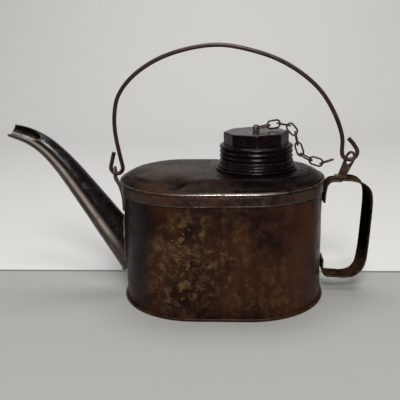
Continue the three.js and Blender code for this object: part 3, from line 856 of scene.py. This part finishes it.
def make_sweep_group():
    tree = bpy.data.node_groups.new("sweep_along_path", "GeometryNodeTree")
    tree.interface.new_socket("Geometry", in_out="INPUT", socket_type="NodeSocketGeometry")
    tree.interface.new_socket("Sides", in_out="INPUT", socket_type="NodeSocketInt")
    tree.interface.new_socket("Finish", in_out="INPUT", socket_type="NodeSocketMaterial")
    tree.interface.new_socket("Geometry", in_out="OUTPUT", socket_type="NodeSocketGeometry")
    source, result = tree.nodes.new("NodeGroupInput"), tree.nodes.new("NodeGroupOutput")
    to_curve = tree.nodes.new("GeometryNodeMeshToCurve")
    thick = tree.nodes.new("GeometryNodeInputNamedAttribute")
    thick.data_type = "FLOAT"
    thick.inputs["Name"].default_value = "thick"
    circle_node = tree.nodes.new("GeometryNodeCurvePrimitiveCircle")
    circle_node.inputs["Radius"].default_value = 1.0
    to_mesh = tree.nodes.new("GeometryNodeCurveToMesh")
    to_mesh.inputs["Fill Caps"].default_value = True
    realize = tree.nodes.new("GeometryNodeRealizeInstances")
    paint = tree.nodes.new("GeometryNodeSetMaterial")
    join(tree, source.outputs["Geometry"], to_curve.inputs["Mesh"])
    join(tree, to_curve.outputs["Curve"], to_mesh.inputs["Curve"])
    join(tree, source.outputs["Sides"], circle_node.inputs["Resolution"])
    join(tree, circle_node.outputs["Curve"], to_mesh.inputs["Profile Curve"])
    join(tree, thick.outputs["Attribute"], to_mesh.inputs["Scale"])
    join(tree, to_mesh.outputs["Mesh"], realize.inputs["Geometry"])
    join(tree, realize.outputs["Geometry"], paint.inputs["Geometry"])
    join(tree, source.outputs["Finish"], paint.inputs["Material"])
    join(tree, paint.outputs["Geometry"], result.inputs["Geometry"])
    return tree


sweep_group = make_sweep_group()
sweep_inputs = {
    item.name: item.identifier
    for item in sweep_group.interface.items_tree
    if item.in_out == "INPUT"
}
print("sweep inputs:", list(sweep_inputs))

# %% Carry a section along a path


def sweep(name, path, radius, material, sides, closed=False):
    """Sweeps a path given in mm. radius is in mm: a number or a function of a point."""
    thickness = [(radius(p) if callable(radius) else radius) * MM for p in path]
    edges = [(i, i + 1) for i in range(len(path) - 1)]
    if closed:
        edges.append((len(path) - 1, 0))
    mesh = bpy.data.meshes.new(name)
    mesh.from_pydata([Vector(p) * MM for p in path], edges, [])
    mesh.attributes.new("thick", "FLOAT", "POINT").data.foreach_set("value", thickness)
    obj = bpy.data.objects.new(name, mesh)
    bpy.context.scene.collection.objects.link(obj)
    modifier = obj.modifiers.new("sweep", "NODES")
    modifier.node_group = sweep_group
    modifier[sweep_inputs["Sides"]] = sides
    modifier[sweep_inputs["Finish"]] = material
    graph = bpy.context.evaluated_depsgraph_get()
    swept = bpy.data.meshes.new_from_object(obj.evaluated_get(graph))
    obj.modifiers.clear()
    obj.data = swept
    work = bmesh.new()
    work.from_mesh(swept)
    bmesh.ops.remove_doubles(work, verts=work.verts, dist=1e-6)
    bmesh.ops.recalc_face_normals(work, faces=work.faces)
    work.to_mesh(swept)
    work.free()
    smooth(obj, 60)
    return obj


def merge(first, *others):
    """Puts closed shells that belong to one piece into one object."""
    work = bmesh.new()
    for obj in (first, *others):
        work.from_mesh(obj.data)
    work.to_mesh(first.data)
    work.free()
    for obj in others:
        bpy.data.objects.remove(obj)
    smooth(first, 40)
    return first


print("sweeping ready")

# %% [markdown]
# ## The body
# The wall is one oval sheet. Sheet metal of this gauge is never flat after decades of use, so
# it carries slow waves and a few soft dents; they die out near the rims, which hold it stiff.
# The hole under the spout is cut by the spout's own line.

# %% The spout's line
SPOUT_STOPS = [
    (-74.0, 29.5), (-96.0, 61.6), (-117.0, 92.4), (-132.6, 113.8), (-145.6, 127.6), (-158.0, 135.8),
    (-175.5, 142.0),
]
SPOUT_WALL = 0.7
Y_AXIS = Vector((0, 1, 0))
SEAM_ANGLE = math.radians(280)      # measured round the tube from its underside
SEAM_WIDTH = 0.15                   # in radians, like the painted highlight line
SEAM_HEIGHT = 0.9
# Width in radians of the painted highlight line along the seam.
HIGHLIGHT_LINE_WIDTH = 0.16


def spout_radius(u):
    """Steep taper for most of the length, then a gentle one along the bent tip."""
    return max(15.6 - 9.9 * u, 5.3 + 4.6 * (1 - u))


def seam_rise(angle, u):
    """The lapped seam stands a little proud along the near side and dies out at the tip."""
    away = (angle - SEAM_ANGLE) / SEAM_WIDTH
    return SEAM_HEIGHT * math.exp(-away * away) * (1 - fade(u, 0.62, 0.8))


def spout_rings(change, stations=110, sides=64, seam=False):
    """Circles along the spout's line, grown or shrunk by change."""
    points = route(SPOUT_STOPS, stations)
    rings = []
    for i, (centre, along) in enumerate(zip(points, headings(points))):
        across = Vector((-along.z, 0.0, along.x))
        ring = []
        for j in range(sides):
            angle = 2 * math.pi * j / sides
            radius = spout_radius(i / stations) + change
            if seam:
                radius += seam_rise(angle, i / stations)
            ring.append(centre + radius * (math.cos(angle) * across + math.sin(angle) * Y_AXIS))
        rings.append(ring)
    return rings


print("spout line from", SPOUT_STOPS[0], "to", SPOUT_STOPS[-1])

# %% Body wall
WALL_DENTS = [  # x, z, depth, reach
    (-48, 30, 0.5, 16),
    (2, 70, 0.35, 22),
    (34, 40, 0.45, 18),
    (70, 62, 0.4, 14),
]


def wall_shift(point):
    """How far the sheet has moved in or out of true at a point."""
    stiff = fade(point.z, 1, 16) * (1 - fade(point.z, 78, 91))
    shift = 0.45 * wave(point, 42, 1.3) + 0.18 * wave(point, 16, 4.7)
    for x, z, depth, reach in WALL_DENTS:
        away = math.hypot(point.x - x, point.z - z) / reach
        if point.y < 0:
            shift -= depth * math.exp(-away * away)
    return stiff * (shift - 0.25)


def body_wall():
    heights = [1.0 + (BODY_TOP - 1.0) * i / 56 for i in range(57)]
    outside = []
    for z in heights:
        ring = oval(HALF_FLAT, END_RADIUS, z)
        outside.append([p + wall_shift(p) * outward(p) for p in ring])
    inside = [[p - SHEET * outward(p) for p in ring] for ring in outside]
    return skin("body_wall", outside + inside[::-1], "loop")


wall = body_wall()
bore = skin("bore_tool", spout_rings(-SPOUT_WALL - 1.0, 40, 48))
carve(wall, [bore])
finish_piece(wall, "can", ["body_shell"], body_tin)

# %% Bottom with its folded bead


BEAD_WIDTH = 0.85
BEAD_HALF_HEIGHT = 1.2
BOTTOM_LIFT = 0.45      # the middle stands this clear of the table


def bottom():
    """Half a section: out along the underside, round the bead, back along the inside.

    The folded edge is rolled by hand, so its outer part wanders a little.
    """
    foot, fold = END_RADIUS, base_high.y
    profile = [(foot - 24, BOTTOM_LIFT), (foot - 4, BOTTOM_LIFT), (foot - 2.2, 0.0), (fold - 0.9, 0.0)]
    for i in range(9):
        angle = math.pi * (i / 8 - 0.5)
        reach, rise = BEAD_WIDTH * math.cos(angle), BEAD_HALF_HEIGHT * math.sin(angle)
        profile.append((fold - BEAD_WIDTH + reach, BEAD_HALF_HEIGHT + rise))
    profile += [(foot + GAP + 0.3, 2.4), (foot + GAP, 2.2), (foot + GAP, 0.9)]
    profile += [(foot - 2.4, 0.9), (foot - 24, 0.9)]
    rings = []
    for radius, z in profile:
        wander = 0.16 if radius > foot + 0.7 else 0.0
        ring = oval(HALF_FLAT, radius, z)
        rings.append([p + wander * wave(p, 14, 8.1) * outward(p) for p in ring])
    return skin("bottom", rings, "closed", 50)


finish_piece(bottom(), "can", ["bottom_plate"], body_tin)

# %% [markdown]
# ## The cover
# The cover was pressed with a raised flat and a slope down to its rolled rim. Knocks show
# most here: one deep thumb-sized dent at the front left, a shallower one to the right, and a
# soft unevenness all over. The band under the rim was soldered on, and the seam is uneven.

# %% Top cover
PLATEAU_Z = cover_high.z
PLATEAU_CORE = 33.0     # half length of the straight middle of the flat
RIM_Z = 101.6           # top of the rolled rim
LIP_Z = 99.6            # its lower edge
SKIRT = END_RADIUS + GAP
NECK_BORE = 24.6
COVER_DENTS = [  # x, y, depth, reach
    (-35, -43, 5.4, 10.5),
    (-58, -36, 1.6, 12),
    (52, -49, 2.0, 9),
    (-8, -52, 0.9, 10),
    (-66, -14, 1.0, 12),
    (10, 46, 1.4, 12),
]


def cover_shift(point):
    """Sinks the sheet at dents and lets the rest wander; the neck seat and rim stay put."""
    away_from_neck = fade(math.hypot(point.x - NECK_X, point.y), 33, 44)
    inside_rim = fade(RIM_Z + 0.35 - point.z, 0.0, -1.6)
    shift = 0.5 * wave(point, 30, 6.2) - 0.65
    for x, y, depth, reach in COVER_DENTS:
        away = math.hypot(point.x - x, point.y - y) / reach
        shift -= depth * math.exp(-away * away)
    return away_from_neck * inside_rim * shift


def slope_rings(lower=0.0):
    """Rings from the rolled rim up the slope to the middle of the flat."""
    stops = [  # half length of the straight side, end radius, z
        (21.5, SKIRT - 1.6, RIM_Z - 0.1), (25.0, 56.2, 103.0), (28.5, 50.5, 105.2), (31.4, 44.6, 106.7),
        (PLATEAU_CORE, 41.2, 107.7), (PLATEAU_CORE, 39.9, 108.3), (PLATEAU_CORE, 38.2, PLATEAU_Z),
    ]
    rings = [oval(p.x, p.y, p.z - lower) for p in route(stops, 34)]
    for radius in (36, 33, 29, 25, 21, 17, 13, 9, 5, 0):
        rings.append(oval(PLATEAU_CORE, radius, PLATEAU_Z - lower))
    return [[p + Vector((0, 0, cover_shift(p))) for p in ring] for ring in rings]


def rim_roll():
    """The rolled rim: a half round bead standing proud of the wall, wandering a little."""
    rings = [oval(HALF_FLAT, SKIRT + 0.55, LIP_Z)]
    for i in range(11):
        angle = math.pi * (i / 10 - 0.35)
        reach, rise = 0.55 * math.cos(angle), 0.95 * math.sin(angle)
        rings.append(oval(HALF_FLAT, SKIRT + 0.7 + reach - (0.5 if i > 8 else 0.0), LIP_Z + 1.1 + rise))
    return [[p + 0.12 * wave(p, 12, 3.3) * outward(p) for p in ring] for ring in rings]


def top_cover():
    outside = rim_roll() + slope_rings()
    under_rim = [oval(HALF_FLAT, SKIRT, LIP_Z), oval(HALF_FLAT, SKIRT + 0.05, LIP_Z + 1.0)]
    return skin("cover", outside[::-1] + under_rim + slope_rings(SHEET), "open", 40)


print("cover rings:", len(slope_rings()) + len(rim_roll()))

# %% Set the cover on the body
cover = top_cover()
neck_hole = skin("neck_hole", [circle(NECK_BORE, z, NECK_X) for z in (95, 120)])
carve(cover, [neck_hole], crease=40)
finish_piece(cover, "can", ["top_cover"], cover_tin)

# %% Band under the rim
BAND_BOTTOM = 92.3


def rim_band():
    top = LIP_Z - GAP
    inner, outer = END_RADIUS + GAP, END_RADIUS + GAP + SHEET
    profile = [(inner, BAND_BOTTOM), (outer - 0.15, BAND_BOTTOM), (outer, BAND_BOTTOM + 0.25)]
    profile += [(outer, BAND_BOTTOM + 0.25 + (top - BAND_BOTTOM - 0.5) * i / 6) for i in range(1, 7)]
    profile += [(outer - 0.15, top), (inner, top)]
    rings = []
    for radius, z in profile:
        ring = oval(HALF_FLAT, radius, z)
        proud = 0.0 if radius == inner else 0.13
        rings.append([p + proud * wave(p, 18, 5.5) * outward(p) for p in ring])
    return skin("rim_band_strip", rings, "loop", 50)


finish_piece(rim_band(), "can", ["rim_band"], band_tin)

# %% Solder seam below the band


def seam_path():
    path = []
    for p in oval(HALF_FLAT, END_RADIUS + 0.42, BAND_BOTTOM - 0.1, 120, 60):
        path.append(p + Vector((0, 0, 0.28 * wave(p, 9, 2.2) + 0.15 * wave(p, 3.5, 9.1))))
    return path


def seam_thickness(p):
    return 0.52 + 0.14 * wave(p, 6, 7.7) + 0.08 * wave(p, 2.5, 1.1)


seam = sweep("rim_solder", seam_path(), seam_thickness, solder, 10, closed=True)
finish_piece(seam, "can", [], solder)

# %% [markdown]
# ## The spout
# The spout is one tapered tube, straight from the foot and curling over near the end, cut
# open at the mouth so that it pours from a lip. Its foot is trimmed to the can's round end
# and a rope of solder closes the joint.

# %% Cutting blocks


def block_beyond(name, origin, normal, size=60.0):
    """A block that fills the space beyond a plane."""
    normal = Vector(normal).normalized()
    side = normal.orthogonal().normalized()
    other = normal.cross(side)
    rings = []
    for depth in (0.0, size):
        corners = ((1, 1), (-1, 1), (-1, -1), (1, -1))
        base = Vector(origin) + depth * normal
        rings.append([base + 0.5 * size * (a * side + b * other) for a, b in corners])
    return skin(name, rings)


MOUTH_BACK = Vector((-150.5, 0.0, 131.5))
MOUTH_ALONG = Vector((-0.93, 0.0, 0.36)).normalized()
MOUTH_TURN = math.radians(47)       # the opening faces up and a little to the front
MOUTH_DIP = math.radians(9.5)       # it deepens towards the tip
MOUTH_START = 6.6


def mouth_block():
    upright = Vector((MOUTH_ALONG.z, 0.0, -MOUTH_ALONG.x))
    facing = math.cos(MOUTH_TURN) * upright + math.sin(MOUTH_TURN) * Vector((0, -1, 0))
    normal = math.cos(MOUTH_DIP) * facing + math.sin(MOUTH_DIP) * MOUTH_ALONG
    return block_beyond("mouth_tool", MOUTH_BACK + MOUTH_START * facing, normal)


print("mouth slopes", round(math.degrees(MOUTH_DIP), 1), "degrees")

# %% Spout tube


def spout_tube():
    rings = []
    for ring in spout_rings(0.0, sides=128, seam=True):
        rings.append([p + 0.16 * wave(p, 22, 4.1) * Vector((0, 1, 0.4)) for p in ring])
    tube = skin("spout_tube", rings + spout_rings(-SPOUT_WALL, sides=128)[::-1], "loop")
    body_space = skin("body_tool", [oval(HALF_FLAT, END_RADIUS + GAP, z) for z in (-5, BODY_TOP + 20)])
    tip = block_beyond("tip_tool", (-174.3, 0, 141.2), (-0.84, 0, 0.54))
    return carve(tube, [body_space, tip, mouth_block()])


def mark_painted_light(obj):
    """Stores painted shade, 0 on the underside to 1 on the upper side that faces the dark room,
    and a painted highlight line along the lapped seam."""
    line = route(SPOUT_STOPS, 60)
    directions = headings(line)
    top_shade, painted_highlight = [], []
    for vertex in obj.data.vertices:
        p = vertex.co / MM
        nearest = min(range(len(line)), key=lambda i: (line[i] - p).length_squared)
        along = directions[nearest]
        across = Vector((-along.z, 0.0, along.x))
        offset = p - line[nearest]
        angle = math.atan2(offset.y, offset.dot(across)) % (2 * math.pi)
        # Painted shade: 1 on the upper side, which faces the dark room.
        top_shade.append(fade(-math.cos(angle), -0.12, 0.12))
        # Painted highlight: a narrow bright line along the seam.
        away = (angle - SEAM_ANGLE) / HIGHLIGHT_LINE_WIDTH
        painted_highlight.append(math.exp(-away * away) * fade(p.z, 40, 62))
    obj.data.attributes.new("painted_top_shade", "FLOAT", "POINT").data.foreach_set("value", top_shade)
    obj.data.attributes.new("painted_highlight", "FLOAT", "POINT").data.foreach_set("value", painted_highlight)
    return obj


finish_piece(mark_painted_light(spout_tube()), "can", ["spout"], spout_tin)

# %% Solder round the foot


def foot_path():
    """Where the spout's outside meets the can's wall, found by walking out along each side."""
    rings = spout_rings(0.2, 220, 72)
    path = []
    for j in range(72):
        for ring in rings:
            p = ring[j]
            core = max(-HALF_FLAT, min(HALF_FLAT, p.x))
            if math.hypot(p.x - core, p.y) > END_RADIUS + 0.5:
                path.append(p + Vector((0, 0, 0.2 * wave(p, 5, 3.0))))
                break
    return path


def foot_thickness(p):
    return 0.85 + 0.25 * wave(p, 8, 6.6) + 0.1 * wave(p, 3, 2.0)


foot_seam = sweep("spout_solder", foot_path(), foot_thickness, solder, 10, closed=True)
finish_piece(foot_seam, "can", [], solder)

# %% [markdown]
# ## The strap handle
# A flat strap with a crowned outside and softly rolled edges, narrow where it is soldered to
# the wall and wide where the hand closes. The inside of the grip is nearly black with painted shade.

# %% Strap
TAB_X = body_high.x + GAP + 0.85
STRAP_STOPS = [
    (TAB_X, 80.0), (TAB_X + 0.7, 89.0), (TAB_X + 2.4, 95.5), (TAB_X + 7.5, 98.5), (105.5, 98.2),
    (114.5, 94.0), (118.4, 85.0), (117.9, 62.0), (115.6, 31.0), (111.4, 20.0), (103.5, 15.9),
    (TAB_X + 6.0, 15.8), (TAB_X + 1.8, 17.4), (TAB_X, 22.0), (TAB_X, 31.0),
]
STRAP_HALF = 0.75
STRAP_STATIONS = 150


def strap_section(width, crown):
    """Pairs (through, across) all the way round a crowned strip with rounded edges."""
    section = []
    for face in (-1, 1):
        for i in range(15):
            across = -face * width * (1 - 2 * i / 14) * 0.955
            section.append((face * STRAP_HALF + crown * (across / width) ** 2, across))
        section.append((crown, face * width))
    return section


def strap():
    """Wider and more crowned in the grip, where its near edge also stands further out."""
    points = route(STRAP_STOPS, STRAP_STATIONS, 0.5)
    rings = []
    for i, (centre, along) in enumerate(zip(points, headings(points))):
        u = i / STRAP_STATIONS
        swell = fade(u, 0.1, 0.3) * (1 - fade(u, 0.66, 0.84))
        out = Vector((-along.z, 0.0, along.x))
        wobble = 0.15 * wave(centre, 16, 3.9)
        crown = 0.2 + 1.1 * swell
        section = strap_section(8.5 + 3.5 * swell + wobble, -crown if out.x < 0 else crown)
        lean = -0.12 * swell
        rings.append([centre + t * out + Vector((lean * y * abs(out.x), y, 0)) for t, y in section])
    return skin("strap", rings, "closed", 50)


finish_piece(strap(), "can", ["handle_strap"], strap_tin)

# %% [markdown]
# ## Ears and bail
# Two small iron ears carry the bail: one soldered down the spout end, one standing on the
# strap. The bail is a single wire with a hook bent at each end and a slightly lopsided arch.

# %% The bail
LEFT_LOOP = (-87.4, 109.1, 5.0)
RIGHT_LOOP = (103.6, 120.4, 6.1)
BAIL_RADIUS = 1.75


def hook_arc(loop, start, stop, steps=6):
    x, z, radius = loop
    angles = [math.radians(start + (stop - start) * i / steps) for i in range(steps + 1)]
    return [(x + radius * math.cos(a), z + radius * math.sin(a)) for a in angles]


bail_stops = [
    (-89.1, 122.2), (-90.9, 115.5), *hook_arc(LEFT_LOOP, 180, 360), (-83.6, 116.0), (-86.9, 136.5),
    (-87.0, 152.0), (-83.0, 168.2), (-70.0, 184.0), (-44.0, 199.0), (-4.0, 206.7), (29.0, 200.8),
    (54.0, 190.2), (77.0, 172.2), (90.0, 152.8), (97.3, 132.5), *hook_arc(RIGHT_LOOP, 176, 370),
    (106.4, 127.0), (102.2, 131.8),
]


def bail_thickness(p):
    """Drawn wire, thinned a little by rust in places."""
    return BAIL_RADIUS - 0.05 + 0.05 * wave(p, 9, 5.1)


bail = sweep("bail", route(bail_stops, 420), bail_thickness, bail_iron, 20)
finish_piece(bail, "bail", ["bail_wire"], bail_iron)

# %% [markdown]
# ## Neck, cap and swivel
# The neck is a turned ring with a rolled flange and a coarse thread. The cap is one shell:
# a ribbed round skirt below and a soft-cornered octagon above, hollow inside.

# %% Soft corners and threads


def rounded(profile, size, steps=3):
    """Softens the corners of a closed profile with little arcs."""
    soft = []
    for i, corner in enumerate(profile):
        here = Vector(corner)
        before, after = Vector(profile[i - 1]), Vector(profile[(i + 1) % len(profile)])
        cut = min(size, 0.45 * (before - here).length, 0.45 * (after - here).length)
        start = here + cut * (before - here).normalized()
        stop = here + cut * (after - here).normalized()
        for step in range(steps + 1):
            t = step / steps
            soft.append(tuple((1 - t) ** 2 * start + 2 * t * (1 - t) * here + t * t * stop))
    return soft


THREAD_PITCH = 3.8


def helix(radius, start, turns, phase=0.0, per_turn=72):
    """The thread's line round the neck's axis, rising one pitch with every turn."""
    path = []
    for i in range(round(turns * per_turn) + 1):
        a = phase + 2 * math.pi * i / per_turn
        rise = start + THREAD_PITCH * i / per_turn
        path.append(Vector((NECK_X + radius * math.cos(a), radius * math.sin(a), rise)))
    return path


print("thread pitch", THREAD_PITCH, "mm")

# %% Filler neck
neck_profile = [  # radius, z: the flange with its two rolls, then the threaded tube
    (NECK_BORE, 108.9), (32.8, 108.9), (33.2, 109.6), (32.6, 110.5), (31.6, 110.9), (32.2, 111.7),
    (31.6, 112.7), (30.2, 113.1), (30.6, 113.9), (29.8, 114.9), (26.2, 114.9), (26.2, 125.0),
    (25.6, 125.6), (NECK_BORE, 125.6),
]
neck = skin("neck", [circle(r, z, NECK_X) for r, z in rounded(neck_profile, 0.35)], "loop", 60)
neck_thread = sweep("neck_thread", helix(26.35, 116.8, 2), 0.95, cap_iron, 12)
finish_piece(merge(neck, neck_thread), "can", ["filler_neck"], cap_iron)

# %% Cap profile
SKIRT_Z = 115.3
SHOULDER_Z = 128.7
CAP_TOP = 138.4
HEAD_RADIUS = 26.6


def skirt_profile():
    """Rounded ribs at the thread's pitch, as in a skirt that was rolled over its own thread."""
    profile = [(28.9, SKIRT_Z), (29.7, SKIRT_Z + 0.15), (29.9, SKIRT_Z + 0.6), (29.6, SKIRT_Z + 1.0)]
    for i in range(37):
        z = SKIRT_Z + 1.2 + (SHOULDER_Z - SKIRT_Z - 2.3) * i / 36
        phase = 2 * math.pi * (z - SKIRT_Z - 1.9) / THREAD_PITCH
        profile.append((29.35 - 0.42 * math.cos(phase), z))
    return profile + [(29.0, SHOULDER_Z - 0.75), (28.4, SHOULDER_Z - 0.25), (27.6, SHOULDER_Z)]


def octagon_radius(angle, across, softness):
    """Distance to the edge of a rounded octagon with a corner at angle zero."""
    total = 0.0
    for side in range(8):
        facing = math.cos(angle - math.pi / 8 - side * math.pi / 4)
        total += max(0.0, facing) ** softness
    return across * math.cos(math.pi / 8) / total ** (1 / softness)


def octagon(across, z, softness=70):
    """A ring round the neck's axis. across is the radius at the corners."""
    ring = []
    for i in range(192):
        angle = 2 * math.pi * i / 192
        radius = octagon_radius(angle, across, softness)
        ring.append(Vector((NECK_X + radius * math.cos(angle), radius * math.sin(angle), z)))
    return ring


print("skirt rings:", len(skirt_profile()))

# %% Screw cap


def screw_cap():
    """Up the skirt and the octagon, in over the top to the rivet hole, then down the inside."""
    rings = [circle(r, z, NECK_X, 192) for r, z in skirt_profile()]
    rings += [octagon(HEAD_RADIUS + out, SHOULDER_Z + rise) for out, rise in ((0.35, 0.1), (0.05, 0.5))]
    rings += [octagon(HEAD_RADIUS, SHOULDER_Z + 1.0 + 1.5 * i) for i in range(6)]
    for inset, drop in ((0.08, 0.75), (0.3, 0.35), (0.75, 0.1), (1.4, 0.0)):
        rings.append(octagon(HEAD_RADIUS - inset, CAP_TOP - drop, 60))
    rings += [circle(r, CAP_TOP - 0.05, NECK_X, 192) for r in (22, 17, 12, 7, 3.5, 2.0)]
    hollow = [
        (2.0, CAP_TOP - 1.5), (22.0, CAP_TOP - 1.5), (22.6, CAP_TOP - 2.1), (22.6, 127.4),
        (27.7, 127.4), (28.0, 127.0), (28.0, SKIRT_Z + 0.2), (28.3, SKIRT_Z),
    ]
    rings += [circle(r, z, NECK_X, 192) for r, z in hollow]
    for ring in rings:
        for p in ring:
            p += 0.10 * wave(p, 9, 2.9) * Vector((p.x - NECK_X, p.y, 0)).normalized()
    return skin("cap_shell", rings, "loop", 35)


cap = screw_cap()
cap_thread = sweep("cap_thread", helix(27.85, SKIRT_Z + 1.5, 2.2, math.pi), 0.9, cap_iron, 12)
finish_piece(merge(cap, cap_thread), "cap", ["screw_cap"], cap_iron)

# %% Rivet and eye
EYE_Z = CAP_TOP + 2.75
EYE_RADIUS = 2.1
EYE_WIRE = 0.65


def rivet():
    under = CAP_TOP - 2.7
    below = [(0, -1.2), (1.6, -1.1), (2.4, -0.6), (2.4, 0), (1.5, 0)]
    above = [(1.5, 0.3), (3.0, 0.3), (2.9, 0.7), (2.2, 0.95), (0, 1.0)]
    profile = [(r, under + z) for r, z in below] + [(r, CAP_TOP + z) for r, z in above]
    shank = skin("rivet", [circle(r, z, NECK_X, 32) for r, z in profile], "open", 40)
    turns = [2 * math.pi * i / 40 for i in range(40)]
    ring = [
        Vector((NECK_X + EYE_RADIUS * math.cos(a), 0, EYE_Z + EYE_RADIUS * math.sin(a)))
        for a in turns
    ]
    return merge(shank, sweep("eye", ring, EYE_WIRE, chain_iron, 14, closed=True))


finish_piece(rivet(), "swivel", ["chain_swivel"], chain_iron)

# %% Cork gasket and rivet washer


def keep_node(name, material):
    """A design node that is fine as it is only gets its finish."""
    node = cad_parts[name]
    node.data.materials.clear()
    node.data.materials.append(material)
    print("kept", name)


keep_node("cap_gasket", gasket_cork)
keep_node("swivel_washer", chain_iron)

# %% [markdown]
# ## The keeper chain
# Nine oval links, each turned a quarter from its neighbour. Every link stands where the
# design puts it: its centre and its long and wide directions are found from its own points.

# %% Find how a link lies


def link_pose(name):
    """Centre, long direction and wide direction of a design link, in mm."""
    points = [v.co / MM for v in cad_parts[name].data.vertices]
    centre = sum(points, Vector()) / len(points)
    along = max((p - centre for p in points), key=lambda d: d.length).normalized()
    for _ in range(12):
        along = sum(((p - centre).dot(along) ** 3 * (p - centre) for p in points), Vector()).normalized()
    flat = [(p - centre) - (p - centre).dot(along) * along for p in points]
    wide = max(flat, key=lambda d: d.length).normalized()
    for _ in range(12):
        wide = sum((d.dot(wide) ** 3 * d for d in flat), Vector()).normalized()
    return centre, along, wide


print("first link lies along", [round(x, 2) for x in link_pose("chain_link_1")[1]])

# %% Links
LINK_LENGTH = 12.9
LINK_WIDTH = 7.8
LINK_WIRE = 0.75


def link_path(centre, along, wide):
    bend = LINK_WIDTH / 2 - LINK_WIRE
    straight = LINK_LENGTH / 2 - LINK_WIDTH / 2
    path = []
    for side in (1, -1):
        for i in range(15):
            angle = math.pi * (i / 14 - 0.5) + (0 if side > 0 else math.pi)
            reach = side * straight + bend * math.cos(angle)
            path.append(centre + reach * along + bend * math.sin(angle) * wide)
    return path


for number in range(1, 10):
    name = f"chain_link_{number}"
    path = link_path(*link_pose(name))
    link = sweep(f"link_{number}", path, LINK_WIRE, chain_iron, 14, closed=True)
    finish_piece(link, name, [name], chain_iron)

# %% Ears keep their design shape
keep_node("ear_left", ear_iron)
keep_node("ear_right", ear_iron)
